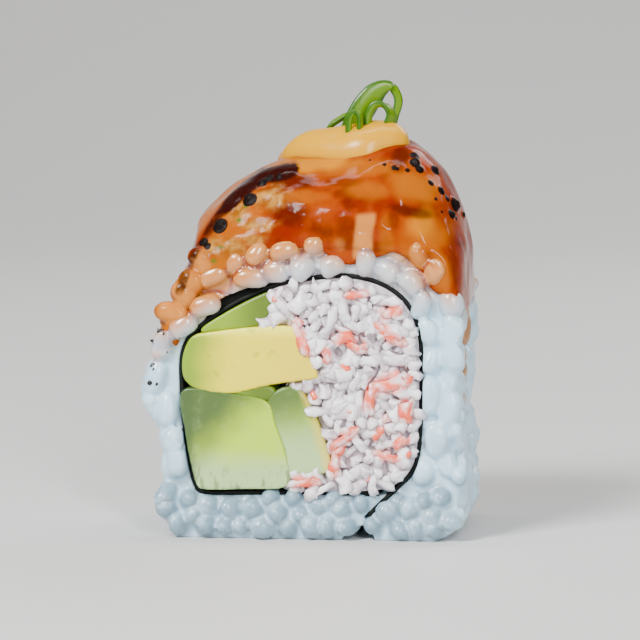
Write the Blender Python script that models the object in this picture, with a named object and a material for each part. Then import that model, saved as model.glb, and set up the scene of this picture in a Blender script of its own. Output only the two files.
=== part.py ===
"""One slice of an inside-out sushi roll under a seared, glazed topping, built as separate solids.

The slice stands on the rice's flat underside. +Z is up, the shown cut face looks towards -Y, and the
origin is on the surface that the slice stands on, under the middle of the roll. Every size below is in
millimetres, and MM turns it into Blender's metres where a mesh is made.
"""

import math
import random

import bmesh
import bpy
from mathutils import Matrix, Vector, noise

MM = 0.001

# Driving sizes
HALF_DEPTH = 13.0
GAP = 0.3
NORI_THICKNESS = 0.4
GRAIN_LENGTH = 5.4
GRAIN_WIDTH = 2.9
GRAIN_THICKNESS = 2.5
GRAIN_PROUD = 0.9
GRAIN_BLUNTNESS = 1.16
FACE_GRAIN_SPACING = 3.5
SIDE_GRAIN_SPACING = 4.1
FLAKE_LENGTH = 4.2
FLAKE_WIDTH = 1.7
FLAKE_SPACING = 3.3
TOPPING_LIP = 0.15
TOPPING_LUMP = 0.4
TOPPING_LUMP_SIZE = 5.5
MAYO_THICKNESS = 3.3
SCALLION_THICKNESS = 0.75
RIM_BEVEL = 0.35
BEYOND = 4.0
OVERLAP = 1.5
SEED = 7

# Outlines in the cut face, as (x, z), each running anticlockwise as seen from the front
RICE_OUTLINE = [
    (-16.5, 0.0), (-8.0, 0.0), (0.0, 0.0), (8.0, 0.0), (16.5, 0.0), (20.4, 2.2), (21.2, 5.6),
    (20.6, 13.0), (20.4, 22.0), (20.7, 28.0), (20.0, 33.5), (17.2, 37.8), (11.0, 40.2), (3.0, 40.6),
    (-4.0, 40.2), (-10.0, 38.2), (-14.8, 34.8), (-18.2, 30.4), (-20.2, 26.4), (-21.2, 22.5), (-21.4, 18.8),
    (-20.1, 14.0), (-19.7, 9.0), (-20.0, 5.0), (-19.0, 1.8),
]
NORI_TAIL = [(7.9, 3.2), (10.1, 5.4)]
NORI_RING = [
    (12.4, 7.6), (14.2, 10.2), (14.8, 15.0), (14.9, 22.0), (14.7, 27.0), (13.2, 31.0), (9.8, 33.7),
    (5.0, 34.8), (-0.5, 34.3), (-5.5, 33.0), (-10.6, 30.4), (-14.6, 27.6), (-16.4, 25.0),
    (-16.7, 21.0), (-16.3, 15.0), (-15.6, 10.0), (-14.8, 6.9), (-13.2, 6.0), (-6.0, 6.1), (2.0, 6.2),
    (9.4, 6.2),
]
SEAM_NOTCH = [(3.8, -1.0), (8.8, -1.0), (8.0, 1.8), (6.2, 1.6)]
CUCUMBER_LEFT = [
    (-17.0, 19.4), (-17.0, 12.0), (-15.4, 6.0), (-8.0, 5.9), (-2.8, 7.2), (-2.8, 10.5), (-4.2, 15.4),
    (-5.3, 18.1), (-9.7, 19.0),
]
CUCUMBER_RIGHT = [
    (-5.0, 18.0), (-3.8, 14.6), (-2.7, 11.6), (-2.5, 9.1), (0.2, 9.0), (3.0, 9.6), (2.0, 14.0),
    (0.6, 17.6), (-0.6, 19.5), (-2.2, 20.1), (-3.9, 19.6),
]
AVOCADO_SLIVER = [(-9.6, 19.3), (-7.6, 18.9), (-5.4, 18.5), (-4.3, 19.6), (-5.2, 20.2), (-7.5, 20.0)]
AVOCADO_SLICE = [
    (-17.4, 23.5), (-16.8, 20.6), (-13.4, 19.6), (-9.8, 19.4), (-4.6, 20.6), (0.7, 21.4), (1.5, 21.8),
    (0.2, 24.7), (-1.5, 27.7), (-2.4, 28.1), (-6.3, 28.1), (-12.1, 27.4), (-15.6, 27.6),
]
AVOCADO_UPPER = [
    (-14.4, 27.6), (-9.7, 27.9), (-6.6, 28.3), (-5.3, 29.5), (-4.3, 31.0), (-4.4, 33.6), (-10.0, 31.6),
]
CRAB_OUTLINE = [
    (-4.4, 36.0), (-5.0, 31.5), (-6.6, 28.6), (-2.0, 26.5), (0.0, 22.6), (-3.0, 20.4), (-1.6, 17.0),
    (0.4, 11.0), (-2.6, 9.4), (-2.8, 5.0), (8.0, 5.0), (17.0, 5.0), (17.0, 20.0), (17.0, 36.0), (6.0, 37.0),
]
# The topping's back and the left and right feet that it stands on, from left to right
TOPPING_BACK = [
    (-20.8, 25.8), (-20.2, 29.0), (-18.6, 33.2), (-17.1, 36.8), (-15.8, 40.4), (-14.0, 43.4),
    (-11.0, 46.2), (-7.6, 48.2), (-3.5, 49.6), (1.0, 50.4), (5.0, 50.9), (9.0, 51.7), (12.0, 52.0),
    (14.4, 50.8), (16.6, 48.4), (18.5, 45.0), (19.9, 41.3), (20.6, 37.6), (20.7, 33.6), (20.6, 30.2),
]
TOPPING_FEET = ((-19.6, 25.6), (19.4, 30.0))
# Char blisters: place across the topping, place from front to back, radius
BLISTERS = [
    (0.33, 0.16, 0.8), (0.24, 0.12, 0.85), (0.19, 0.08, 0.7), (0.37, 0.24, 0.7), (0.41, 0.27, 0.75),
    (0.72, 0.28, 0.65), (0.76, 0.34, 0.6), (0.80, 0.26, 0.6), (0.845, 0.22, 0.8), (0.875, 0.24, 0.6),
]
MAYO_CENTRE = (2.6, 0.2)
MAYO_HALF = (9.5, 4.5)
MAYO_TURN = math.radians(-22.0)
# Scallion shreds: (x, y, z, width) along each one, and the way that the width faces
SCALLION = {
    "scallion_blade": {
        "path": [(4.4, -0.6, 51.2, 3.3), (5.1, -0.6, 54.0, 3.5), (6.3, -0.4, 56.3, 3.5), (7.5, -0.1, 57.9, 3.2),
                 (8.6, 0.2, 58.8, 2.3), (9.7, 0.5, 59.0, 1.4), (10.4, 0.7, 58.2, 1.2), (10.7, 0.8, 56.9, 1.2),
                 (10.2, 0.7, 55.0, 1.1), (9.6, 0.5, 52.3, 1.1)],
        "facing": (0.8, 0.35, -0.5),
    },
    "scallion_loop": {
        "path": [(6.8, -2.0, 51.2, 1.4), (6.9, -2.0, 54.6, 1.4), (7.4, -2.0, 56.2, 1.4), (8.3, -1.9, 56.8, 1.4),
                 (9.3, -1.8, 56.5, 1.4), (9.9, -1.7, 55.4, 1.5), (9.6, -1.6, 54.0, 1.8), (8.9, -1.4, 51.2, 1.9)],
        "facing": (0.6, 0.7, -0.3),
    },
    "scallion_arch": {
        "path": [(4.5, -3.3, 50.6, 0.9), (4.5, -3.3, 54.2, 0.9), (4.9, -3.4, 55.5, 0.9), (5.5, -3.4, 55.8, 0.9),
                 (6.0, -3.4, 55.1, 0.9), (6.0, -3.3, 53.8, 0.9), (5.9, -3.2, 50.6, 0.9)],
        "facing": (0.5, 0.9, 0.1),
    },
    "scallion_strip": {
        "path": [(0.5, 2.0, 51.4, 1.0), (1.3, 2.0, 53.5, 1.0), (2.5, 2.0, 54.5, 1.0), (3.7, 2.0, 55.1, 0.9),
                 (4.7, 2.1, 55.0, 0.9), (5.7, 2.2, 54.0, 0.9), (6.1, 2.2, 51.4, 0.9)],
        "facing": (0.3, 0.8, 0.6),
    },
}

# Colour and roughness of each sub-part
COLOURS = {
    "rice": ((0.78, 0.82, 0.84), 0.35),
    "nori": ((0.02, 0.025, 0.02), 0.45),
    "avocado": ((0.76, 0.74, 0.30), 0.5),
    "avocado_green": ((0.42, 0.58, 0.12), 0.5),
    "cucumber": ((0.66, 0.74, 0.42), 0.3),
    "crab": ((0.88, 0.80, 0.76), 0.4),
    "seared": ((0.72, 0.26, 0.04), 0.2),
    "mayo": ((0.95, 0.62, 0.25), 0.3),
    "scallion": ((0.32, 0.52, 0.06), 0.4),
}


def clear_scene():
    for thing in list(bpy.data.objects):
        bpy.data.objects.remove(thing)


def finish_material(name):
    found = bpy.data.materials.get(name)
    if found:
        return found
    colour, roughness = COLOURS[name]
    made = bpy.data.materials.new(name)
    made.use_nodes = True
    shader = made.node_tree.nodes["Principled BSDF"]
    shader.inputs["Base Color"].default_value = (*colour, 1.0)
    shader.inputs["Roughness"].default_value = roughness
    shader.inputs["Metallic"].default_value = 0.0
    return made


def spline_point(a, b, c, d, t):
    """A point between b and c on the smooth curve through a, b, c and d."""
    return 0.5 * (
        2 * b + (c - a) * t + (2 * a - 5 * b + 4 * c - d) * t**2 + (3 * b - a - 3 * c + d) * t**3
    )


def smooth_loop(points, steps=2):
    """A closed curve through the points, with this many stretches between each two."""
    corners = [Vector(p) for p in points]
    count = len(corners)
    return [
        spline_point(*(corners[(i + k) % count] for k in (-1, 0, 1, 2)), s / steps)
        for i in range(count)
        for s in range(steps)
    ]


def smooth_path(points, steps=2):
    """An open curve through the points."""
    corners = [Vector(p) for p in points]
    corners = [2 * corners[0] - corners[1], *corners, 2 * corners[-1] - corners[-2]]
    path = [
        spline_point(*corners[i : i + 4], s / steps)
        for i in range(len(corners) - 3)
        for s in range(steps)
    ]
    return [*path, corners[-2]]


def outward(points, i, closed):
    """The unit normal at a point of an anticlockwise outline, away from its inside."""
    count = len(points)
    before = points[(i - 1) % count] if closed or i > 0 else points[i]
    after = points[(i + 1) % count] if closed or i < count - 1 else points[i]
    along = after - before
    return Vector((along.y, -along.x)).normalized()


def offset(points, distance, closed=True):
    """The outline moved outwards by a distance, or inwards where that is negative."""
    return [p + outward(points, i, closed) * distance for i, p in enumerate(points)]


def resample(path, count):
    """This many points, evenly spaced along an open path."""
    lengths = [0.0]
    for a, b in zip(path, path[1:]):
        lengths.append(lengths[-1] + (b - a).length)
    found = []
    leg = 0
    for i in range(count):
        target = lengths[-1] * i / (count - 1)
        while leg < len(path) - 2 and lengths[leg + 1] < target:
            leg += 1
        share = (target - lengths[leg]) / (lengths[leg + 1] - lengths[leg])
        found.append(path[leg].lerp(path[leg + 1], min(share, 1.0)))
    return found


def inside(loop, point):
    """Whether a point of the cut face lies inside an outline."""
    found = False
    for a, b in zip(loop, loop[1:] + loop[:1]):
        if (a.y > point.y) != (b.y > point.y):
            if point.x < a.x + (point.y - a.y) * (b.x - a.x) / (b.y - a.y):
                found = not found
    return found


def new_object(name, mesh_maker, collection=None):
    """An object whose mesh is filled by a function, with its faces turned outwards."""
    shape = bmesh.new()
    mesh_maker(shape)
    bmesh.ops.recalc_face_normals(shape, faces=shape.faces)
    mesh = bpy.data.meshes.new(name)
    shape.to_mesh(mesh)
    shape.free()
    thing = bpy.data.objects.new(name, mesh)
    (collection or bpy.context.scene.collection).objects.link(thing)
    return thing


def prism(name, loop, half_depth=HALF_DEPTH):
    """An outline of the cut face, run through the slice from front to back."""

    def fill(shape):
        rims = [
            [shape.verts.new((p.x * MM, y * MM, p.y * MM)) for p in loop]
            for y in (-half_depth, half_depth)
        ]
        shape.faces.new(rims[0])
        shape.faces.new(rims[1][::-1])
        for i in range(len(loop)):
            j = (i + 1) % len(loop)
            shape.faces.new((rims[0][i], rims[1][i], rims[1][j], rims[0][j]))

    return new_object(name, fill)


def apply_modifiers(thing):
    """Replaces an object's mesh with what its modifiers make of it."""
    graph = bpy.context.evaluated_depsgraph_get()
    made = bpy.data.meshes.new_from_object(thing.evaluated_get(graph))
    thing.modifiers.clear()
    thing.data = made


def boolean(thing, operation, *others, solver="EXACT"):
    """Cuts, joins or keeps what is common, and removes the other objects."""
    for other in others:
        step = thing.modifiers.new(operation.lower(), "BOOLEAN")
        step.operation = operation
        step.solver = solver
        step.object = other
        apply_modifiers(thing)
        bpy.data.objects.remove(other)


def join_collection(thing, collection):
    """Fuses every object of a collection to one object, then removes them."""
    step = thing.modifiers.new("fuse", "BOOLEAN")
    step.operation = "UNION"
    step.solver = "MANIFOLD"
    step.operand_type = "COLLECTION"
    step.collection = collection
    apply_modifiers(thing)
    for other in list(collection.objects):
        bpy.data.objects.remove(other)
    bpy.data.collections.remove(collection)


def keep_largest(thing):
    """Drops the loose scraps that a cut leaves beside a solid."""
    shape = bmesh.new()
    shape.from_mesh(thing.data)
    left = set(shape.verts)
    islands = []
    while left:
        island = {left.pop()}
        edge = list(island)
        while edge:
            vertex = edge.pop()
            for link in vertex.link_edges:
                other = link.other_vert(vertex)
                if other in left:
                    left.remove(other)
                    island.add(other)
                    edge.append(other)
        islands.append(island)
    islands.sort(key=len)
    scraps = [vertex for island in islands[:-1] for vertex in island]
    bmesh.ops.delete(shape, geom=scraps, context="VERTS")
    shape.to_mesh(thing.data)
    shape.free()


def new_collection(name):
    made = bpy.data.collections.new(name)
    bpy.context.scene.collection.children.link(made)
    return made


def placed(matrix, size):
    """A matrix that sizes a unit shape, turns and moves it as another one says, and goes to metres."""
    return Matrix.Scale(MM, 4) @ matrix @ Matrix.Diagonal((*size, 1.0))


def facing_matrix(place, out, angle):
    """Stands a shape at a place with its Z along the surface, turned by an angle, and its Y outwards."""
    out = out.normalized()
    side = out.cross(Vector((0.0, 1.0, 0.0)) if abs(out.y) < 0.9 else Vector((1.0, 0.0, 0.0)))
    side = (Matrix.Rotation(angle, 3, out) @ side).normalized()
    turned = Matrix((out.cross(side), out, side)).transposed()
    return Matrix.Translation(place) @ turned.to_4x4()


def blob(name, matrix, size, collection, segments=5, rings=4):
    """A low-sided, blunt-ended ellipsoid: a rice grain or a char blister."""

    def fill(shape):
        bmesh.ops.create_uvsphere(shape, u_segments=segments, v_segments=rings, radius=0.5)
        for vertex in shape.verts:
            if 0.1 < abs(vertex.co.z) < 0.45:
                vertex.co.x *= GRAIN_BLUNTNESS
                vertex.co.y *= GRAIN_BLUNTNESS
        bmesh.ops.transform(shape, matrix=placed(matrix, size), verts=shape.verts)

    return new_object(name, fill, collection)


def flake(name, matrix, size, taper, collection):
    """A torn flake of crab: a block that narrows to one end."""

    def fill(shape):
        bmesh.ops.create_cube(shape, size=1.0)
        for vertex in shape.verts:
            if vertex.co.z > 0:
                vertex.co.x *= taper
                vertex.co.y *= taper
        bmesh.ops.transform(shape, matrix=placed(matrix, size), verts=shape.verts)

    return new_object(name, fill, collection)


def face_points(spacing, is_wanted, draw):
    """Evenly spread, slightly shaken points of the cut face that a test accepts."""
    reach = 24.0
    rows = int(2 * reach / (spacing * math.sqrt(0.75)))
    found = []
    for row in range(rows):
        z = row * spacing * math.sqrt(0.75)
        for column in range(int(2 * reach / spacing)):
            x = -reach + (column + 0.5 * (row % 2)) * spacing
            shaken = Vector((x + draw.uniform(-0.5, 0.5), z + draw.uniform(-0.5, 0.5)))
            if is_wanted(shaken):
                found.append(shaken)
    return found


def grain_size(draw):
    """Length lies along the third axis, thickness along the second."""
    share = draw.uniform(0.88, 1.12)
    return (GRAIN_WIDTH * share, GRAIN_THICKNESS * share, GRAIN_LENGTH * draw.uniform(0.85, 1.15))


def add_face_grains(core, nori_loop, collection, draw):
    """Grains that lie in the two cut faces, pressed in to the middle."""
    inner = offset(nori_loop, 0.9)
    outer = offset(core, -0.3)

    def in_ring(p):
        return inside(outer, p) and not inside(inner, p)

    for side in (-1, 1):
        for p in face_points(FACE_GRAIN_SPACING, in_ring, draw):
            sunk = HALF_DEPTH - GRAIN_THICKNESS / 2 + draw.uniform(-0.35, 0.15)
            out = Vector((draw.uniform(-0.2, 0.2), side, draw.uniform(-0.2, 0.2)))
            spot = Vector((p.x, side * sunk, p.y))
            turn = facing_matrix(spot, out, draw.uniform(0, math.pi))
            blob("grain", turn, grain_size(draw), collection)


def add_side_grains(core, collection, draw):
    """Grains on the roll's outside, from its foot up to where the topping starts on either side."""
    (_, left_top), (_, right_top) = TOPPING_FEET
    wall = resample([*core, core[0]], int(150 / SIDE_GRAIN_SPACING))
    rows = int(2 * HALF_DEPTH / SIDE_GRAIN_SPACING)
    for i, p in enumerate(wall[:-1]):
        top = left_top if p.x < 0 else right_top
        if p.y < 1.0 or p.y > top - 0.5:
            continue
        out = outward(wall[:-1], i, True)
        reach = HALF_DEPTH - GRAIN_LENGTH / 2 + 0.4
        for row in range(rows + i % 2):
            y = (row + 0.5 - (rows + i % 2) / 2) * SIDE_GRAIN_SPACING + draw.uniform(-0.6, 0.6)
            y = max(-reach, min(reach, y))
            sunk = draw.uniform(-0.6, -0.2)
            spot = Vector((p.x + out.x * sunk, y, p.y + out.y * sunk))
            turn = facing_matrix(spot, Vector((out.x, 0.0, out.y)), draw.uniform(0, math.pi))
            blob("grain", turn, grain_size(draw), collection)


def rice_core():
    """The packed rice inside its outermost grains. Its underside stays flat on the floor."""
    floor_reach = GRAIN_PROUD + 0.3
    core = offset(smooth_loop(RICE_OUTLINE), -GRAIN_PROUD)
    return [Vector((p.x, 0.0)) if p.y < floor_reach else p for p in core]


def make_rice(core, nori_loop, topping_room):
    draw = random.Random(SEED)
    rice = prism("rice", core, HALF_DEPTH - GRAIN_PROUD)
    grains = new_collection("grains")
    add_face_grains(core, nori_loop, grains, draw)
    add_side_grains(core, grains, draw)
    join_collection(rice, grains)
    tail = smooth_path([*NORI_TAIL, NORI_RING[0]])
    tail = [2 * tail[0] - tail[1].lerp(tail[0], 0.5), *tail]
    room = NORI_THICKNESS / 2 + GAP
    through = HALF_DEPTH + BEYOND
    cutters = [
        prism("filling_room", offset(nori_loop, room), through),
        prism("seam_room", band_outline(tail, room), through),
        prism("notch", [Vector(p) for p in SEAM_NOTCH], through),
        prism("under_floor", rectangle(-30.0, -10.0, 30.0, 0.0), through),
        topping_room,
    ]
    boolean(rice, "DIFFERENCE", *cutters, solver="MANIFOLD")
    keep_largest(rice)
    return rice


def rectangle(x0, z0, x1, z1):
    return [Vector(p) for p in ((x0, z0), (x1, z0), (x1, z1), (x0, z1))]


def band_outline(path, half_width):
    """The outline of a band of even width along an open path."""
    one_side = offset(path, half_width, closed=False)
    other_side = offset(path, -half_width, closed=False)
    return [*one_side, *other_side[::-1]]


def make_nori():
    """The seaweed sheet round the filling, whose outer edge runs out along the seam in the rice."""
    path = smooth_path([*NORI_TAIL, *NORI_RING])
    return prism("nori", band_outline(path, NORI_THICKNESS / 2), HALF_DEPTH - 0.4)


def nori_loop():
    """The closed outline that the seaweed's middle makes round the filling."""
    return smooth_path(NORI_RING)


def make_filling(loop):
    """Cucumber, avocado and crab, each cut back from the pieces made before it."""
    space = offset(loop, -(NORI_THICKNESS / 2 + GAP))
    made = []
    rows = [
        ("avocado_sliver", AVOCADO_SLIVER, 12.7),
        ("cucumber_left", CUCUMBER_LEFT, 13.0),
        ("cucumber_right", CUCUMBER_RIGHT, 12.7),
        ("avocado_slice", AVOCADO_SLICE, 12.9),
        ("avocado_upper", AVOCADO_UPPER, 12.4),
    ]
    room = []
    for name, points, half_depth in rows:
        outline = smooth_loop(points)
        piece = prism(name, outline, half_depth)
        boolean(piece, "INTERSECT", prism("space", space, HALF_DEPTH + BEYOND))
        trim = [prism("room", grown, HALF_DEPTH + BEYOND) for grown in room]
        boolean(piece, "DIFFERENCE", *trim)
        keep_largest(piece)
        room.append(offset(outline, GAP))
        soften_rims(piece)
        made.append(piece)
    made.append(make_crab(space, room))
    return made


def soften_rims(piece):
    """Rounds the rims where a knife cut through a piece."""
    step = piece.modifiers.new("rims", "BEVEL")
    step.width = RIM_BEVEL * MM
    step.segments = 1
    step.limit_method = "ANGLE"
    step.angle_limit = math.radians(70)
    apply_modifiers(piece)


def make_crab(space, room):
    """Torn crab in sauce, pressed round the other fillings, with its flakes standing out of both faces."""
    draw = random.Random(SEED + 1)
    outline = smooth_loop(CRAB_OUTLINE)
    crab = prism("crab_mix", outline, HALF_DEPTH - 1.1)
    flakes = new_collection("flakes")

    def in_crab(p):
        return inside(outline, p) and inside(space, p) and not any(inside(o, p) for o in room)

    for side in (-1, 1):
        for p in face_points(FLAKE_SPACING, in_crab, draw):
            spot = Vector((p.x, side * (HALF_DEPTH - 1.1 + draw.uniform(-0.2, 0.2)), p.y))
            out = Vector((draw.uniform(-0.3, 0.3), side, draw.uniform(-0.3, 0.3)))
            turn = facing_matrix(spot, out, draw.uniform(0, math.pi))
            length = FLAKE_LENGTH * draw.uniform(0.6, 1.2)
            width = FLAKE_WIDTH * draw.uniform(0.7, 1.3)
            flake("flake", turn, (width, 0.9 * width, length), draw.uniform(0.4, 0.9), flakes)
    join_collection(crab, flakes)
    boolean(crab, "INTERSECT", prism("space", space, HALF_DEPTH + BEYOND), solver="MANIFOLD")
    trim = [prism("room", grown, HALF_DEPTH + BEYOND) for grown in room]
    boolean(crab, "DIFFERENCE", *trim, solver="MANIFOLD")
    keep_largest(crab)
    return crab


def topping_rise(v):
    """How much of its full height the topping has at a share v of the way from front to back."""
    return TOPPING_LIP + (1 - TOPPING_LIP) * (1 - abs(2 * v - 1) ** 2.3) ** 0.8


def topping_curves(core, count):
    """Matching points along the rice's top and along the topping's back, from left to right."""
    feet = [Vector(p) for p in TOPPING_FEET]
    ends = [min(range(len(core)), key=lambda i: (core[i] - foot).length) for foot in feet]
    over = core[ends[1] : ends[0] + 1][::-1]
    return resample(over, count), resample(smooth_path(TOPPING_BACK), count)


def topping_point(under, back, v, grow):
    """A point of the topping's skin over one place on the rice, with soft lumps."""
    out = back - under
    height = out.length * topping_rise(v) + grow
    y = (2 * v - 1) * (HALF_DEPTH - 0.5 + grow)
    place = under + out.normalized() * height
    lump = noise.noise(Vector((place.x, y, place.y)) / TOPPING_LUMP_SIZE)
    place += out.normalized() * lump * TOPPING_LUMP * topping_rise(v)
    return Vector((place.x, y, place.y))


def topping_shell(name, core, grow=0.0, overlap=OVERLAP, across=27, along=12):
    """The topping as one closed skin, which reaches into the rice by an overlap."""
    under, back = topping_curves(core, across)
    deep = offset(under[::-1], -overlap, closed=False)[::-1]
    if grow:
        for curve in (under, back, deep):
            curve[0] += (curve[0] - curve[1]).normalized() * grow
            curve[-1] += (curve[-1] - curve[-2]).normalized() * grow

    def fill(shape):
        skin = [
            [shape.verts.new(topping_point(u, b, j / along, grow) * MM) for j in range(along + 1)]
            for u, b in zip(under, back)
        ]
        ends = HALF_DEPTH - 0.5 + grow
        base = [[shape.verts.new((p.x * MM, y * MM, p.y * MM)) for y in (-ends, ends)] for p in deep]
        for i in range(across - 1):
            for j in range(along):
                shape.faces.new((skin[i][j], skin[i + 1][j], skin[i + 1][j + 1], skin[i][j + 1]))
            shape.faces.new((base[i][0], base[i][1], base[i + 1][1], base[i + 1][0]))
            shape.faces.new((skin[i][0], base[i][0], base[i + 1][0], skin[i + 1][0]))
            shape.faces.new((skin[i][-1], skin[i + 1][-1], base[i + 1][1], base[i][1]))
        for i in (0, -1):
            shape.faces.new([base[i][0], *skin[i], base[i][1]])

    return new_object(name, fill)


def make_topping(core):
    """The seared slab over the rice's top, with char blisters along its burnt rims."""
    topping = topping_shell("seared_topping", core)
    under, back = topping_curves(core, 101)
    blisters = new_collection("blisters")
    for u, v, radius in BLISTERS:
        i = round(u * 100)
        place = topping_point(under[i], back[i], v, 0.0)
        out = Vector((back[i].x - under[i].x, -6.0, back[i].y - under[i].y))
        turn = facing_matrix(place, out, 4.0 * u)
        blob("blister", turn, (1.8 * radius, 1.5 * radius, 2.4 * radius), blisters)
    join_collection(topping, blisters)
    rice_room = prism("rice_room", offset(core, GAP), HALF_DEPTH + BEYOND)
    boolean(topping, "DIFFERENCE", rice_room, solver="MANIFOLD")
    keep_largest(topping)
    return topping


def height_over(thing, x, y):
    """How high an object's surface is over a place, in millimetres."""
    start = Vector((x, y, 100.0)) * MM
    hit, place, _, _ = thing.ray_cast(start, Vector((0.0, 0.0, -1.0)))
    if not hit:
        raise ValueError(f"nothing under {x}, {y}")
    return place.z / MM


def mayo_shell(name, topping, grow=0.0, deep=0.0, rings=6, segments=18):
    """The dollop of sauce, which follows what it lies on and stands proud of it."""
    edge = 0.75

    def fill(shape):
        tops = []
        bases = []
        for ring in range(rings + 1):
            share = ring / rings
            for s in range(segments if ring else 1):
                angle = 2 * math.pi * s / segments
                wave = 1 + 0.06 * math.sin(3 * angle + 0.6) + 0.04 * math.sin(5 * angle)
                along = (MAYO_HALF[0] * wave + grow) * share * math.cos(angle)
                fuller = 1 + 0.2 * math.cos(angle)
                aside = (MAYO_HALF[1] * wave * fuller + grow) * share * math.sin(angle)
                x = MAYO_CENTRE[0] + along * math.cos(MAYO_TURN) - aside * math.sin(MAYO_TURN)
                y = MAYO_CENTRE[1] + along * math.sin(MAYO_TURN) + aside * math.cos(MAYO_TURN)
                lean = 1 + 0.08 * math.cos(angle) * share
                base = height_over(topping, x, y) + GAP
                swell = edge + (MAYO_THICKNESS - edge) * max(0.0, 1 - share**2.2) ** 0.62 * lean
                tops.append(shape.verts.new((x * MM, y * MM, (base + swell + grow) * MM)))
                bases.append(shape.verts.new((x * MM, y * MM, (base - deep) * MM)))
        for skin in (tops, bases):
            for s in range(segments):
                t = (s + 1) % segments
                shape.faces.new((skin[0], skin[1 + s], skin[1 + t]))
                for ring in range(rings - 1):
                    a, b = 1 + ring * segments, 1 + (ring + 1) * segments
                    shape.faces.new((skin[a + s], skin[b + s], skin[b + t], skin[a + t]))
        last = 1 + (rings - 1) * segments
        for s in range(segments):
            t = (s + 1) % segments
            shape.faces.new((tops[last + s], bases[last + s], bases[last + t], tops[last + t]))

    return new_object(name, fill)


def ribbon(name, path, facing):
    """A curved shred of even thickness, whose width changes from point to point."""
    line = smooth_path([p[:3] for p in path], steps=3)
    section = [(-0.5, 0.0), (-0.4, 0.5), (0.4, 0.5), (0.5, 0.0), (0.4, -0.5), (-0.4, -0.5)]

    def fill(shape):
        rims = []
        for i, p in enumerate(line):
            leg = min(i // 3, len(path) - 2)
            wide = path[leg][3] + (path[leg + 1][3] - path[leg][3]) * (i / 3 - leg)
            along = (line[min(i + 1, len(line) - 1)] - line[max(i - 1, 0)]).normalized()
            across = Vector(facing)
            across = (across - along * across.dot(along)).normalized()
            out = along.cross(across)
            rims.append([
                shape.verts.new((p + across * a * wide + out * b * SCALLION_THICKNESS) * MM)
                for a, b in section
            ])
        for one, two in zip(rims, rims[1:]):
            for i in range(len(section)):
                j = (i + 1) % len(section)
                shape.faces.new((one[i], one[j], two[j], two[i]))
        shape.faces.new(rims[0])
        shape.faces.new(rims[-1][::-1])

    return new_object(name, fill)


def make_scallion(topping):
    """Shreds of scallion that stand in the sauce, cut off where they meet it."""
    made = []
    for name, shred in SCALLION.items():
        piece = ribbon(name, shred["path"], shred["facing"])
        room = mayo_shell("mayo_room", topping, grow=GAP, deep=3.0)
        boolean(piece, "DIFFERENCE", room, solver="MANIFOLD")
        keep_largest(piece)
        made.append(piece)
    return made


def dress(thing, finish):
    """Gives a solid its finish, and smooth shading that keeps its sharp rims."""
    thing.data.materials.clear()
    thing.data.materials.append(finish_material(finish))
    thing.data.shade_smooth()
    thing.data.set_sharp_from_angle(angle=math.radians(50))


def main():
    clear_scene()
    core = rice_core()
    loop = nori_loop()
    finishes = {
        "avocado_sliver": "avocado_green",
        "cucumber_left": "cucumber",
        "cucumber_right": "cucumber",
        "avocado_slice": "avocado",
        "avocado_upper": "avocado_green",
        "crab_mix": "crab",
    }
    dress(make_rice(core, loop, topping_shell("topping_room", core, grow=GAP, overlap=0.0)), "rice")
    dress(make_nori(), "nori")
    for piece in make_filling(loop):
        dress(piece, finishes[piece.name])
    topping = make_topping(core)
    dress(topping, "seared")
    dress(mayo_shell("spicy_mayo", topping), "mayo")
    for piece in make_scallion(topping):
        dress(piece, "scallion")


main()
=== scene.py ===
"""Dresses one slice of an inside-out sushi roll and sets up the stage that it is shown on.

The roll runs along Y, its shown cut face looks towards -Y, and +Z is up. Every place and size in the
tables below is in millimetres, and MM turns it into metres where a mesh is made.
"""

import math
import random

import bmesh
import bpy
import numpy as np
from mathutils import Euler, Matrix, Vector, kdtree, noise


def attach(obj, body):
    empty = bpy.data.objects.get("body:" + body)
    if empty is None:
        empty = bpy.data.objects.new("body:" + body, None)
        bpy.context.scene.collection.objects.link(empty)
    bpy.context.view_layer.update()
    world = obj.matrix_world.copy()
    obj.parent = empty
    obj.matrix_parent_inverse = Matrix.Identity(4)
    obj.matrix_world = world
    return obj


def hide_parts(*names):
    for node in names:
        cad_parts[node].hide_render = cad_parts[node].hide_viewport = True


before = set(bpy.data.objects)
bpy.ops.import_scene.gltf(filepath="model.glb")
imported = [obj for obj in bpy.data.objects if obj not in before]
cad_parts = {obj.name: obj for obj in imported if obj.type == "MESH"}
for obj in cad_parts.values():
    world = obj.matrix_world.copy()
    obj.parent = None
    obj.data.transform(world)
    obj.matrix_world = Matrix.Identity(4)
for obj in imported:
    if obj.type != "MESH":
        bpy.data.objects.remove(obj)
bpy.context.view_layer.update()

bl_info = {
    "name": "Uramaki Slice",
    "version": (1, 0, 0),
    "blender": (4, 5, 0),
    "location": "View3D > Sidebar > Uramaki",
    "description": "Builds one slice of an inside-out sushi roll, piece by piece",
    "category": "Add Mesh",
}

MM = 0.001
SEED = 11
# The lumps of the crab's flakes have a seed of their own
FLAKE_SEED = 1795900931

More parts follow.
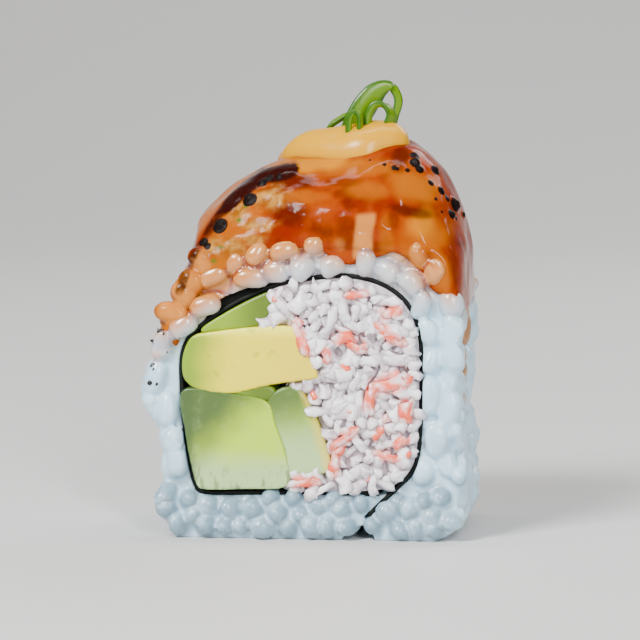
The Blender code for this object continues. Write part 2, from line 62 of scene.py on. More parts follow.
# Outlines in the cut face, as (x, z), each running anticlockwise as seen from the front
RICE_OUTLINE = [
    (-16.5, 0.0), (-8.0, 0.0), (0.0, 0.0), (8.0, 0.0), (16.5, 0.0), (20.4, 2.2), (21.2, 5.6),
    (20.6, 13.0), (20.4, 22.0), (20.7, 28.0), (20.0, 33.5), (17.2, 37.8), (11.0, 40.2), (3.0, 40.6),
    (-4.0, 40.2), (-10.0, 38.2), (-14.8, 34.8), (-18.2, 30.4), (-20.2, 26.4), (-21.6, 22.5),
    (-22.2, 18.8), (-20.1, 14.0), (-19.7, 9.0), (-20.0, 5.0), (-19.0, 1.8),
]
NORI_TAIL = [(7.9, 3.2), (10.1, 5.4)]
NORI_RING = [
    (12.4, 7.6), (14.2, 10.2), (14.8, 15.0), (14.9, 22.0), (14.7, 27.0), (13.2, 31.0), (9.8, 33.7),
    (5.0, 34.8), (-0.5, 34.3), (-5.5, 33.0), (-10.6, 30.4), (-14.6, 27.6), (-16.4, 25.0),
    (-16.7, 21.0), (-16.3, 15.0), (-15.6, 10.0), (-14.8, 6.9), (-13.2, 6.0), (-6.0, 6.1), (2.0, 6.2),
    (9.4, 6.2),
]
# The topping's skin: rows from left to right, and steps along each from front to back
DOME_ACROSS, DOME_ALONG = 150, 70
# Least distance between the middles of grains at the foot, and of those on the topping's flank
FOOT_SPACING, FLANK_SPACING = 1.95, 2.7
# Cell sizes that the fillings and the sauce are fused at
FILLING_VOXEL, MAYO_VOXEL = 0.3, 0.22
# What the picture spans at the slice, in metres
PICTURE_WIDTH = 0.0832
# Rows of grains follow the nori above the first height, and the floor below the second
NORI_TOP = 27.0
FOOT_TOP = 6.4
# The hollow over the sheet at the upper left, where the rice stands off it. Black nori fills its back:
# painted shade for the dark gap.
NORI_HOLLOW = [
    (-13.8, 28.3), (-11.8, 29.3), (-9.2, 30.8), (-5.5, 32.6), (-2.5, 33.8), (-4.5, 34.1), (-7.5, 33.2),
    (-9.6, 32.4), (-11.4, 31.6), (-12.7, 30.2),
]
SEAM_NOTCH = [(3.8, -1.0), (8.8, -1.0), (8.0, 1.8), (6.2, 1.6)]
CUCUMBER_LEFT = [
    (-16.3, 19.7), (-16.0, 14.0), (-15.2, 9.6), (-14.4, 7.0), (-13.2, 6.6), (-8.0, 6.7), (-2.6, 7.2),
    (-2.5, 10.5), (-4.1, 15.4), (-5.2, 18.3), (-9.7, 19.3),
]
CUCUMBER_RIGHT = [
    (-5.2, 18.2), (-4.0, 14.6), (-2.8, 11.6), (-2.5, 8.9), (0.2, 8.8), (3.2, 9.5), (2.1, 14.0),
    (0.7, 17.6), (-0.6, 19.7), (-2.2, 20.3), (-3.9, 19.8),
]
AVOCADO_SLIVER = [(-9.9, 19.4), (-7.6, 18.7), (-5.4, 18.3), (-4.0, 19.6), (-5.2, 20.5), (-7.5, 20.2)]
AVOCADO_SLICE = [
    (-16.4, 23.5), (-15.9, 20.8), (-13.4, 19.5), (-9.8, 19.3), (-4.6, 20.5), (0.7, 21.3), (1.5, 21.7),
    (0.2, 24.7), (-1.5, 27.7), (-2.4, 28.2), (-6.3, 28.1), (-12.1, 27.4), (-15.2, 26.6),
]
AVOCADO_UPPER = [
    (-14.2, 27.4), (-9.7, 27.7), (-6.6, 28.1), (-5.1, 29.5), (-4.2, 31.0), (-4.8, 32.7), (-9.8, 30.4),
]
CRAB_OUTLINE = [
    (-4.4, 33.0), (-5.0, 31.5), (-6.8, 28.4), (-2.0, 26.5), (0.0, 22.6), (-3.0, 20.2), (-1.6, 17.0),
    (0.4, 11.0), (-2.6, 9.4), (-2.8, 6.6), (8.0, 6.6), (12.0, 7.8), (14.0, 10.6), (14.5, 15.0),
    (14.6, 22.0), (14.4, 27.0), (12.9, 30.8), (9.6, 33.4), (5.0, 34.4), (-0.5, 33.9),
]
# Where the smooth glaze ends on the cut face, and how far down the grains below it are glazed
GLAZE_EDGE = [
    (-21.5, 28.6), (-19.6, 30.2), (-17.2, 33.0), (-14.4, 36.0), (-10.9, 37.6), (-6.8, 38.6),
    (-2.0, 39.0), (1.5, 38.4), (4.5, 36.2), (8.7, 37.2), (11.8, 37.8), (14.4, 35.8), (16.6, 32.8),
    (19.5, 32.2), (22.0, 31.4),
]
GLAZE_FOOT = [
    (-22.0, 24.8), (-19.6, 25.6), (-17.5, 26.8), (-15.0, 28.4), (-12.0, 30.2), (-9.0, 32.2),
    (-5.0, 34.8), (0.0, 36.8), (5.0, 37.0), (10.0, 36.8), (13.0, 35.4), (16.0, 32.6), (22.0, 31.2),
]
# The topping's back and the left and right feet that it stands on, from left to right
TOPPING_BACK = [
    (-20.7, 25.4), (-19.0, 28.6), (-17.6, 31.2), (-16.9, 34.0), (-16.4, 37.0), (-15.9, 39.6),
    (-15.6, 41.6), (-14.0, 43.4), (-11.0, 46.2), (-7.6, 48.2), (-3.5, 49.6), (1.0, 50.4), (5.0, 50.9),
    (9.0, 51.7), (12.0, 52.0),
    (14.4, 50.8), (16.6, 48.4), (18.5, 45.0), (19.9, 41.3), (20.6, 37.6), (20.7, 33.6), (20.6, 30.2),
]
TOPPING_FEET = ((-19.6, 25.6), (19.4, 30.0))
TOPPING_LIP = 0.15
TOPPING_LUMP = 0.4
TOPPING_LUMP_SIZE = 5.5
# Features of the topping as the front shows them, as (x, z)
SEAR_BAND = [(-16.7, 32.6), (-14.8, 37.7), (-12.2, 42.1), (-8.6, 45.9), (-6.8, 47.4), (-2.6, 48.2)]
FOLDS = [
    [(-2.8, 43.4), (0.4, 42.6), (4.6, 41.6)],
    [(10.8, 44.2), (13.6, 43.6), (17.0, 42.6)],
    [(9.4, 46.4), (11.0, 42.6), (11.6, 38.6)],
    [(11.9, 42.6), (14.4, 38.0), (16.4, 33.0)],
]
# Darker parts of the glaze, partly darker glaze and partly painted shade in the folds and under and beside
# the sauce, and yellower parts: (x, z, half width, half height, tilt in degrees, share)
DARK_GLAZE_AND_SHADE = [
    (-2.4, 42.6, 3.2, 1.7, 0, 0.8), (1.4, 41.4, 3.2, 1.3, -15, 0.4), (5.2, 40.6, 1.6, 2.5, 10, 0.56),
    (-2.8, 46.8, 3.7, 1.0, 0, 0.8), (4, 46.9, 3.0, 0.7, 0, 0.48), (13.4, 43.2, 3.7, 0.8, -14, 0.8),
    (11.3, 42.6, 0.8, 2.6, 0, 0.56), (18.9, 36.4, 0.6, 4.2, 4, 0.4), (-4.9, 39.6, 2.3, 1.6, 20, 0.32),
    (11.6, 50.2, 1.3, 2.1, 0, 0.8), (15.6, 35, 0.7, 4.2, 18, 0.36), (8.6, 44.4, 2.5, 0.8, -20, 0.32),
]
AMBERS = [
    (5.0, 48.6, 7.5, 1.0, 2, 0.7), (13.4, 46.2, 3.4, 1.8, -20, 0.9), (15.6, 40.4, 2.8, 2.6, 0, 0.7),
    (7.9, 45.8, 3.2, 1.2, 0, 0.6), (10.4, 39.4, 1.0, 3.2, 0, 0.5), (-0.8, 45.0, 3.0, 0.9, 0, 0.5),
    (-13.0, 34.6, 4.4, 2.2, 40, 0.9), (-9.5, 40.6, 5.0, 3.0, 45, 0.6), (-18.2, 29.4, 4.0, 2.4, 60, 1.0),
    (13.6, 36.4, 1.0, 3.0, 18, 0.6), (17.4, 35.6, 1.2, 3.6, 10, 0.8),
]
GOLDS = [(0.6, 49.0, 5.0, 0.9, 3, 0.8), (-4.6, 48.2, 2.4, 0.7, 10, 0.8), (15.0, 41.6, 1.6, 1.8, 0, 0.5)]
FLESH = [
    (-5.2, 44.8, 2.8, 1.7), (-9.4, 43.0, 1.9, 1.7), (-9.8, 38.4, 2.4, 1.6), (-6.6, 41.4, 2.8, 1.0),
    (-12.2, 38.6, 1.3, 1.6), (-7.0, 39.4, 1.8, 0.9),
]
# A painted reflection of a lamp: a paler upright patch on the front of the glaze, as (x, z, half width,
# half height)
REFLECTION_PATCH = (7.4, 39.8, 1.2, 3.0)
# Grains that show through the glaze at the upper left: (x, z, tilt in degrees)
SHOULDER_GRAINS = [(-14.9, 33.9, 60), (-15.3, 31.6, 35), (-17.3, 29.4, 75), (-13.6, 36.4, 40)]
HERBS = [(-9.0, 41.9, 0.5), (-11.4, 38.4, 0.45), (-12.2, 36.6, 0.5), (-8.4, 43.6, 0.35)]
# Char blisters: (x, z, radius)
BLISTERS = [
    (-7.6, 44.4, 0.90), (-11.6, 40.9, 0.96), (-13.5, 38.9, 0.60), (-13.2, 38.2, 0.48), (-6.4, 46.6, 0.54),
    (-5.4, 47.2, 0.48), (-4.4, 47.4, 0.42), (13.8, 49.2, 0.66), (13.5, 50.0, 0.60), (14.1, 48.5, 0.54),
    (16.0, 48.2, 0.66), (15.8, 46.6, 0.42), (17.0, 45.6, 0.54), (16.4, 44.7, 0.25), (17.8, 44.5, 0.42),
    (18.6, 43.7, 0.84), (18.3, 42.6, 0.60), (18.9, 42.0, 0.30), (19.7, 42.0, 0.42), (9.6, 49.2, 0.25),
    (10.8, 48.9, 0.30), (11.6, 48.6, 0.25), (12.6, 48.3, 0.30), (17.4, 43.0, 0.20), (7.8, 49.6, 0.20),
]
MAYO_CENTRE = (2.6, 0.2)
MAYO_HALF = (9.5, 4.5)
MAYO_TURN = math.radians(-22.0)
# Scallion shreds: (x, y, z, width) along each one, and the way that the width faces
SCALLION = {
    "scallion_blade": {
        "path": [
            (4.4, -0.6, 51.2, 3.3), (5.1, -0.6, 54.0, 3.5), (6.3, -0.4, 56.3, 3.5), (7.5, -0.1, 57.9, 3.2),
            (8.6, 0.2, 58.8, 2.3), (9.7, 0.5, 59.0, 1.4), (10.4, 0.7, 58.2, 1.2), (10.7, 0.8, 56.9, 1.2),
            (10.2, 0.7, 55.0, 1.1), (9.6, 0.5, 52.3, 1.1),
        ],
        "facing": (0.8, 0.35, -0.5),
    },
    "scallion_loop": {
        "path": [
            (6.8, -2.0, 51.2, 1.4), (6.9, -2.0, 54.6, 1.4), (7.4, -2.0, 56.2, 1.4), (8.3, -1.9, 56.8, 1.4),
            (9.3, -1.8, 56.5, 1.4), (9.9, -1.7, 55.4, 1.5), (9.6, -1.6, 54.0, 1.8), (8.9, -1.4, 51.2, 1.9),
        ],
        "facing": (0.6, 0.7, -0.3),
    },
    "scallion_arch": {
        "path": [
            (4.5, -3.3, 50.6, 0.9), (4.5, -3.3, 54.2, 0.9), (4.9, -3.4, 55.5, 0.9), (5.5, -3.4, 55.8, 0.9),
            (6.0, -3.4, 55.1, 0.9), (6.0, -3.3, 53.8, 0.9), (5.9, -3.2, 50.6, 0.9),
        ],
        "facing": (0.5, 0.9, 0.1),
    },
    "scallion_strip": {
        "path": [
            (0.5, 2.0, 51.4, 1.0), (1.3, 2.0, 53.5, 1.0), (2.5, 2.0, 54.5, 1.0), (3.7, 2.0, 55.1, 0.9),
            (4.7, 2.1, 55.0, 0.9), (5.7, 2.2, 54.0, 0.9), (6.1, 2.2, 51.4, 0.9),
        ],
        "facing": (0.3, 0.8, 0.6),
    },
}
# Pink and white pieces of crab that stand out in the front: (x, z, turn in degrees, length, width)
PINKS = [
    (-0.7, 26.3, 115, 4.3, 1.7), (5, 26.7, 10, 2.9, 1.6), (6.7, 25.6, -20, 2.3, 1.4),
    (10.9, 27.3, -35, 4.2, 1.6), (11.2, 30.2, 20, 2.6, 1.3), (6.4, 32.4, 5, 3.1, 1.1),
    (11, 21, 18, 5.5, 2.2), (8.4, 18.6, 80, 3.8, 1.4), (13.1, 17.2, 85, 3.1, 1.7),
    (5, 13.8, 40, 4.1, 1.4), (3.6, 10.8, 85, 3.8, 1.6), (10.7, 11.4, -15, 3.4, 1.2),
    (-0.4, 7.8, 10, 3.4, 1.3), (9.4, 14.4, 60, 1.9, 1.1), (2.6, 24.4, 100, 1.9, 1.1),
    (12.4, 13.2, 30, 2.2, 1.2),
]
WHITES = [
    (12.0, 24.1, 8, 4.6, 1.9), (3.0, 28.8, 75, 4.4, 1.5), (4.9, 30.4, 100, 3.6, 1.4),
    (8.6, 29.2, 50, 3.2, 1.5), (1.2, 31.6, 20, 3.6, 1.5), (9.4, 24.6, -25, 3.4, 1.5),
    (6.6, 21.4, 60, 3.0, 1.6), (12.6, 20.2, 100, 2.8, 1.4), (7.2, 9.2, 10, 3.0, 1.6),
    (4.4, 17.6, 30, 2.8, 1.5),
]
# Char specks on the rice: (x, y, z, size)
SPECKS = [
    (-19.3, -12.6, 27.6, 0.7), (-18.8, -12.9, 27.0, 0.45), (-20.3, -12.2, 26.0, 0.6),
    (-20.4, -12.4, 22.9, 0.6), (-20.2, -12.6, 22.3, 0.4), (-20.5, -12.4, 20.6, 0.65),
    (-19.7, -12.7, 20.4, 0.5), (-18.2, -13.0, 24.6, 0.25), (-16.6, -13.0, 25.9, 0.3),
    (-17.3, -13.0, 25.3, 0.2),
]


def length_property(name, description, default):
    return bpy.props.FloatProperty(
        name=name, description=description, default=default * MM, min=0.0, unit="LENGTH", precision=5
    )


def colour_property(name, description, red, green, blue):
    return bpy.props.FloatVectorProperty(
        name=name, description=description, default=(red, green, blue), subtype="COLOR", min=0.0, max=1.0
    )


class RollSizes(bpy.types.PropertyGroup):
    """Lengths of the roll's pieces."""

    half_depth: length_property("Half depth", "Half the slice's length along the roll", 13.0)
    grain_length: length_property("Grain length", "Length of a cooked rice grain", 4.8)
    grain_width: length_property("Grain width", "Width of a cooked rice grain", 2.8)
    rice_voxel: length_property("Rice detail", "Cell size that the packed rice is fused at", 0.31)
    glaze_voxel: length_property("Glaze detail", "Cell size that the topping is fused at", 0.26)
    nori_thickness: length_property("Nori thickness", "Thickness of the seaweed sheet", 0.5)
    flake_length: length_property("Flake length", "Length of a torn flake of crab", 3.3)
    flake_width: length_property("Flake width", "Width of a torn flake of crab", 1.6)
    mayo_thickness: length_property("Mayo thickness", "Height of the dollop of sauce", 3.3)
    scallion_thickness: length_property("Scallion thickness", "Thickness of a shred", 0.75)


class RollColours(bpy.types.PropertyGroup):
    """Colours of the roll's pieces."""

    rice: colour_property("Rice", "Rims of cooked grains", 0.51, 0.72, 0.85)
    rice_grey: colour_property("Rice core", "Wetter middle of cooked grains", 0.23, 0.345, 0.42)
    rice_glazed: colour_property("Glazed rice", "Rice with glaze run over it", 0.56, 0.21, 0.04)
    rice_amber: colour_property("Amber rice", "Rice with more glaze run over it", 0.30, 0.05, 0.0)
    sauce: colour_property("Sauce", "Dark sauce that has run down the side", 0.36, 0.14, 0.01)
    glaze: colour_property("Glaze", "Thick orange glaze", 0.19, 0.010, 0.0)
    glaze_light: colour_property("Light glaze", "Thinner orange glaze", 0.30, 0.042, 0.0)
    # Dark glaze, also used as painted shade in the glaze's folds and under and beside the sauce
    glaze_dark_and_shade: colour_property("Deep glaze", "Glaze that has pooled in the folds", 0.035, 0.001, 0.0)
    amber: colour_property("Amber", "Thin glaze over pale flesh", 0.36, 0.092, 0.0)
    gold: colour_property("Gold", "Thinnest glaze, under the sauce", 0.56, 0.20, 0.0)
    flesh: colour_property("Flesh", "Seared fish without glaze", 0.42, 0.19, 0.035)
    flesh_dark: colour_property("Dark flesh", "Browner seared fish", 0.22, 0.065, 0.0)
    herb: colour_property("Herb", "Green bits on the flesh", 0.08, 0.11, 0.01)
    sear: colour_property("Sear", "Burnt edge of the topping", 0.022, 0.003, 0.002)
    char: colour_property("Char", "Blisters and specks", 0.006, 0.003, 0.0025)
    mayo: colour_property("Mayo", "Spicy sauce", 0.60, 0.29, 0.0)
    mayo_deep: colour_property("Mayo foot", "Glaze mixed into the foot of the sauce", 0.46, 0.16, 0.0)
    nori: colour_property("Nori", "Seaweed", 0.003, 0.004, 0.004)
    nori_light: colour_property("Light nori", "Thinner seaweed", 0.008, 0.010, 0.008)
    avocado: colour_property("Avocado", "Ripe flesh", 0.80, 0.68, 0.0)
    # Painted highlight along the thick slice's top edge
    avocado_highlight: colour_property("Pale avocado", "Palest flesh", 1.0, 0.92, 0.08)
    avocado_tan: colour_property("Tan avocado", "Flesh next to the stone", 0.78, 0.54, 0.02)
    avocado_edge: colour_property("Avocado edge", "Flesh next to the skin", 0.20, 0.33, 0.0)
    avocado_dark: colour_property("Avocado skin", "Greenest flesh", 0.085, 0.15, 0.0)
    cucumber: colour_property("Cucumber", "Flesh", 0.44, 0.64, 0.02)
    cucumber_core: colour_property("Cucumber core", "Watery flesh round the seeds", 0.40, 0.56, 0.24)
    cucumber_pale: colour_property("Pale cucumber", "Inner flesh", 0.27, 0.41, 0.05)
    cucumber_skin: colour_property("Cucumber skin", "Flesh next to the skin", 0.055, 0.10, 0.03)
    crab: colour_property("Crab", "White flakes", 1.0, 0.95, 0.97)
    # Painted shade: the grey that the white flakes are darkened with in patches and in recesses
    crab_shade: colour_property("Crab shade", "Greyer flakes", 0.50, 0.42, 0.46)
    crab_pink: colour_property("Crab skin", "Pink flakes", 1.0, 0.12, 0.05)
    scallion: colour_property("Scallion", "Pale green face", 0.11, 0.22, 0.0)
    scallion_dark: colour_property("Scallion edge", "Dark green edge", 0.03, 0.10, 0.0)
    floor: colour_property("Floor", "Plain floor and backdrop", 0.60, 0.59, 0.58)


def size(name):
    """A length of the roll, in millimetres."""
    return getattr(bpy.context.scene.roll_sizes, name) / MM


def colour(name):
    """A colour of the roll, with full alpha."""
    return (*getattr(bpy.context.scene.roll_colours, name), 1.0)


# Outlines and paths


def spline_point(a, b, c, d, t):
    """A point between b and c on the smooth curve through a, b, c and d."""
    return 0.5 * (
        2 * b + (c - a) * t + (2 * a - 5 * b + 4 * c - d) * t**2 + (3 * b - a - 3 * c + d) * t**3
    )


def smooth_loop(points, steps=6):
    """A closed curve through the points, with this many stretches between each two."""
    corners = [Vector(p) for p in points]
    count = len(corners)
    return [
        spline_point(*(corners[(i + k) % count] for k in (-1, 0, 1, 2)), s / steps)
        for i in range(count)
        for s in range(steps)
    ]


def smooth_path(points, steps=6):
    """An open curve through the points."""
    corners = [Vector(p) for p in points]
    corners = [2 * corners[0] - corners[1], *corners, 2 * corners[-1] - corners[-2]]
    path = [
        spline_point(*corners[i : i + 4], s / steps)
        for i in range(len(corners) - 3)
        for s in range(steps)
    ]
    return [*path, corners[-2]]


def outward(points, i, closed):
    """The unit normal at a point of an anticlockwise outline, away from its inside."""
    count = len(points)
    before = points[(i - 1) % count] if closed or i > 0 else points[i]
    after = points[(i + 1) % count] if closed or i < count - 1 else points[i]
    along = after - before
    return Vector((along.y, -along.x)).normalized()


def offset(points, distance, closed=True):
    """The outline moved outwards by a distance, or inwards where that is negative."""
    return [p + outward(points, i, closed) * distance for i, p in enumerate(points)]


def resample(path, count):
    """This many points, evenly spaced along an open path."""
    lengths = [0.0]
    for a, b in zip(path, path[1:]):
        lengths.append(lengths[-1] + (b - a).length)
    found = []
    leg = 0
    for i in range(count):
        target = lengths[-1] * i / (count - 1)
        while leg < len(path) - 2 and lengths[leg + 1] < target:
            leg += 1
        share = (target - lengths[leg]) / (lengths[leg + 1] - lengths[leg])
        found.append(path[leg].lerp(path[leg + 1], min(share, 1.0)))
    return found


def path_length(path):
    return sum((b - a).length for a, b in zip(path, path[1:]))


def inside(loop, point):
    """Whether a point of the cut face lies inside an outline."""
    found = False
    for a, b in zip(loop, loop[1:] + loop[:1]):
        if (a.y > point.y) != (b.y > point.y):
            if point.x < a.x + (point.y - a.y) * (b.x - a.x) / (b.y - a.y):
                found = not found
    return found


def height_of(curve, x):
    """The z of an open curve, given from left to right, over one place x or over many."""
    return np.interp(x, [p[0] for p in curve], [p[1] for p in curve])


def distance_to(curve, x, z):
    """Distance of each of many places from an open curve of the cut face."""
    best = np.full(x.shape, 1e9)
    for (ax, az), (bx, bz) in zip(curve, curve[1:]):
        dx, dz = bx - ax, bz - az
        t = np.clip(((x - ax) * dx + (z - az) * dz) / (dx * dx + dz * dz), 0.0, 1.0)
        best = np.minimum(best, np.hypot(x - ax - t * dx, z - az - t * dz))
    return best


def ease(values, low, high):
    """0 below low, 1 above high, and smooth between."""
    t = np.clip((np.asarray(values, dtype=float) - low) / (high - low), 0.0, 1.0)
    return t * t * (3 - 2 * t)


# Meshes


def new_object(name, fill, material=None):
    """An object whose mesh is filled by a function, with its faces turned outwards."""
    shape = bmesh.new()
    fill(shape)
    bmesh.ops.recalc_face_normals(shape, faces=shape.faces)
    mesh = bpy.data.meshes.new(name)
    shape.to_mesh(mesh)
    shape.free()
    thing = bpy.data.objects.new(name, mesh)
    bpy.context.scene.collection.objects.link(thing)
    if material:
        mesh.materials.append(material)
    mesh.shade_smooth()
    return thing


def skin(shape, rows, closed):
    """Faces between each row of vertices and the next, round to each row's start where it is closed."""
    for one, two in zip(rows, rows[1:]):
        for i in range(len(one) if closed else len(one) - 1):
            j = (i + 1) % len(one)
            shape.faces.new((one[i], two[i], two[j], one[j]))


def discard(*things):
    """Removes objects that were needed on the way only."""
    for thing in things:
        bpy.data.objects.remove(thing)


def apply_modifiers(thing):
    """Replaces an object's mesh with what its modifiers make of it."""
    graph = bpy.context.evaluated_depsgraph_get()
    made = bpy.data.meshes.new_from_object(thing.evaluated_get(graph))
    thing.modifiers.clear()
    thing.data = made


def cut(thing, *others, operation="DIFFERENCE"):
    """Cuts other objects from one, and removes them."""
    for other in others:
        step = thing.modifiers.new("cut", "BOOLEAN")
        step.operation = operation
        step.solver = "MANIFOLD"
        step.object = other
        apply_modifiers(thing)
        discard(other)


def fuse(thing, voxel, passes):
    """Fuses overlapping bodies of one mesh into one skin, and softens it."""
    step = thing.modifiers.new("fuse", "REMESH")
    step.mode = "VOXEL"
    step.voxel_size = voxel * MM
    soften = thing.modifiers.new("soften", "SMOOTH")
    soften.factor = 0.5
    soften.iterations = passes
    apply_modifiers(thing)


def absorb(thing, *others):
    """Adds other objects' faces to one mesh, and removes them."""
    shape = bmesh.new()
    shape.from_mesh(thing.data)
    for other in others:
        shape.from_mesh(other.data)
        discard(other)
    shape.to_mesh(thing.data)
    shape.free()


def set_material(thing, material):
    """Gives the whole of an object one material and smooth shading."""
    thing.data.materials.clear()
    thing.data.materials.append(material)
    thing.data.polygons.foreach_set("material_index", [0] * len(thing.data.polygons))
    thing.data.shade_smooth()


def places(thing):
    """Every vertex of an object in millimetres, as three arrays."""
    flat = np.empty(len(thing.data.vertices) * 3)
    thing.data.vertices.foreach_get("co", flat)
    return (flat.reshape(-1, 3) / MM).T


def store(thing, name, values):
    """Keeps one number for each vertex, for the material to read."""
    field = thing.data.attributes.new(name, "FLOAT", "POINT")
    field.data.foreach_set("value", np.asarray(values, dtype=np.float32))


def cloud(x, y, z, cell, seed=0.0):
    """Smooth noise of about -1 to 1 at each of many places."""
    return np.array(
        [noise.noise(Vector((a / cell + seed, b / cell, c / cell))) for a, b, c in zip(x, y, z)]
    )


def prism(name, loop, half_depth, rim=0.0):
    """An outline of the cut face run through the slice, with rounded rims."""
    profile = [(0.0, half_depth - rim)]
    for step in range(1, 5):
        turn = math.pi / 2 * step / 4
        profile.append((rim * (1 - math.cos(turn)), half_depth - rim + rim * math.sin(turn)))
    if rim == 0.0:
        profile = profile[:1]
    rows = [(inset, -y) for inset, y in reversed(profile)] + profile

    def fill(shape):
        rims = []
        for inset, y in rows:
            ring = offset(loop, -inset)
            rims.append([shape.verts.new((p.x * MM, y * MM, p.y * MM)) for p in ring])
        skin(shape, rims, True)
        for ring in (rims[0], rims[-1]):
            edges = [shape.edges.get(pair) for pair in zip(ring, ring[1:] + ring[:1])]
            bmesh.ops.triangle_fill(shape, use_beauty=True, edges=edges)

    return new_object(name, fill)


def band_outline(path, half_width):
    """The outline of a band of even width along an open path."""
    one_side = offset(path, half_width, closed=False)
    other_side = offset(path, -half_width, closed=False)
    return [*one_side, *other_side[::-1]]


# Scattering


def scatter_tree():
    """Puts a shape on points that carry their own turn and size, and makes the copies real."""
    tree = bpy.data.node_groups.new("Scatter", "GeometryNodeTree")
    face = tree.interface
    face.new_socket("Geometry", in_out="INPUT", socket_type="NodeSocketGeometry")
    face.new_socket("Shape", in_out="INPUT", socket_type="NodeSocketObject")
    face.new_socket("Material", in_out="INPUT", socket_type="NodeSocketMaterial")
    face.new_socket("Geometry", in_out="OUTPUT", socket_type="NodeSocketGeometry")
    made = {
        key: tree.nodes.new(kind)
        for key, kind in {
            "in": "NodeGroupInput",
            "shape": "GeometryNodeObjectInfo",
            "turn": "GeometryNodeInputNamedAttribute",
            "size": "GeometryNodeInputNamedAttribute",
            "copies": "GeometryNodeInstanceOnPoints",
            "real": "GeometryNodeRealizeInstances",
            "finish": "GeometryNodeSetMaterial",
            "out": "NodeGroupOutput",
        }.items()
    }
    for key in ("turn", "size"):
        made[key].data_type = "FLOAT_VECTOR"
        made[key].inputs["Name"].default_value = key
    wires = [
        ("in", "Geometry", "copies", "Points"),
        ("in", "Shape", "shape", "Object"),
        ("shape", "Geometry", "copies", "Instance"),
        ("turn", "Attribute", "copies", "Rotation"),
        ("size", "Attribute", "copies", "Scale"),
        ("copies", "Instances", "real", "Geometry"),
        ("real", "Geometry", "finish", "Geometry"),
        ("in", "Material", "finish", "Material"),
        ("finish", "Geometry", "out", "Geometry"),
    ]
    for source, output, target, entry in wires:
        tree.links.new(made[source].outputs[output], made[target].inputs[entry])
    return tree


def scatter(name, shapes, spots, material):
    """One mesh of copies. A spot is (place, turn, size, number of its shape)."""
    tree = bpy.data.node_groups.get("Scatter") or scatter_tree()
    entry = {item.name: item.identifier for item in tree.interface.items_tree if item.in_out == "INPUT"}
    parts = []
    for number, shape in enumerate(shapes):
        mine = [s for s in spots if s[3] == number]
        if not mine:
            continue
        mesh = bpy.data.meshes.new(name)
        mesh.from_pydata([s[0] * MM for s in mine], [], [])
        for key, index in (("turn", 1), ("size", 2)):
            field = mesh.attributes.new(key, "FLOAT_VECTOR", "POINT")
            unit = 1.0 if key == "turn" else MM
            field.data.foreach_set("vector", [c * unit for s in mine for c in s[index]])
        part = bpy.data.objects.new(name, mesh)
        bpy.context.scene.collection.objects.link(part)
        step = part.modifiers.new("scatter", "NODES")
        step.node_group = tree
        step[entry["Shape"]] = shape
        step[entry["Material"]] = material
        apply_modifiers(part)
        parts.append(part)
    whole = parts[0]
    if len(parts) > 1:
        absorb(whole, *parts[1:])
    whole.name = name
    set_material(whole, material)
    return whole


def grain_shapes():
    """Three short rice grains of one unit's size, each bent and dented in its own way."""
    draw = random.Random(SEED)
    made = []
    for bend in (0.10, 0.05, 0.14):
        dent = draw.uniform(0, 10)

        def fill(shape, bend=bend, dent=dent):
            bmesh.ops.create_uvsphere(shape, u_segments=12, v_segments=8, radius=0.5)
            for vertex in shape.verts:
                p = vertex.co
                blunt = 1 + 0.35 * min(1.0, abs(2 * p.z)) ** 2 * (1 - min(1.0, abs(2 * p.z)) ** 6)
                lump = 1 + 0.08 * noise.noise(p * 2.4 + Vector((dent, 0, 0)))
                p.x = (p.x * blunt + bend * (4 * p.z * p.z - 0.3)) * lump
                p.y *= blunt * lump

        made.append(new_object("grain_shape", fill))
    return made


def flake_shapes():
    """Four torn flakes of one unit's size: lumps, a bent strand and a curl."""
    noise.seed_set(FLAKE_SEED)
    made = []
    for number, (taper, curl) in enumerate(((0.8, 0.0), (0.6, 0.1), (0.7, 0.25), (0.95, -0.12))):

        def fill(shape, number=number, taper=taper, curl=curl):
            bmesh.ops.create_uvsphere(shape, u_segments=10, v_segments=8, radius=0.5)
            for vertex in shape.verts:
                p = vertex.co
                blunt = 1 + 0.5 * min(1.0, abs(2 * p.z)) ** 2 * (1 - min(1.0, abs(2 * p.z)) ** 8)
                narrow = blunt * (1 + (taper - 1) * (p.z + 0.5))
                p.x *= narrow
                p.y *= narrow
                p.x += curl * (4 * p.z * p.z - 0.5)
                p += 0.29 * noise.noise_vector(p * 2.4 + Vector((7.3 * number, 0, 0)))

        made.append(new_object("flake_shape", fill))
    return made


def facing_turn(out, angle, tilt=0.0, along=None):
    """Turns a shape so its Z lies along a surface, at an angle, and its Y looks out of it."""
    out = Vector(out).normalized()
    side = along or out.cross(Vector((0.0, 1.0, 0.0)) if abs(out.y) < 0.9 else Vector((1.0, 0.0, 0.0)))
    side = (Matrix.Rotation(angle, 3, out) @ side).normalized()
    turned = Matrix((out.cross(side), out, side)).transposed()
    return (turned @ Matrix.Rotation(tilt, 3, "X")).to_euler()


def spread(candidates, spacing):
    """Keeps each candidate that is at least a spacing away from those kept before it."""
    kept = []
    for place in candidates:
        if all((place - other).length > spacing for other in kept):
            kept.append(place)
    return kept


# Materials


class Wire:
    """A shader value that plain Python expressions can add, subtract, multiply and ease."""

    def __init__(self, graph, socket):
        self.graph = graph
        self.socket = socket

    def __add__(self, other):
        return self.graph.math("ADD", self, other)

    def __sub__(self, other):
        return self.graph.math("SUBTRACT", self, other)

    def __mul__(self, other):
        return self.graph.math("MULTIPLY", self, other)

    def __rsub__(self, other):
        return self.graph.math("SUBTRACT", other, self)

    __radd__ = __add__
    __rmul__ = __mul__

    def ease(self, low, high):
        """0 below low, 1 above high, and smooth between; the other way round where low is higher."""
        settings = {"interpolation_type": "SMOOTHSTEP"}
        made = self.graph.node("ShaderNodeMapRange", settings, self, low, high, 0.0, 1.0)
        return Wire(self.graph, made.outputs["Result"])


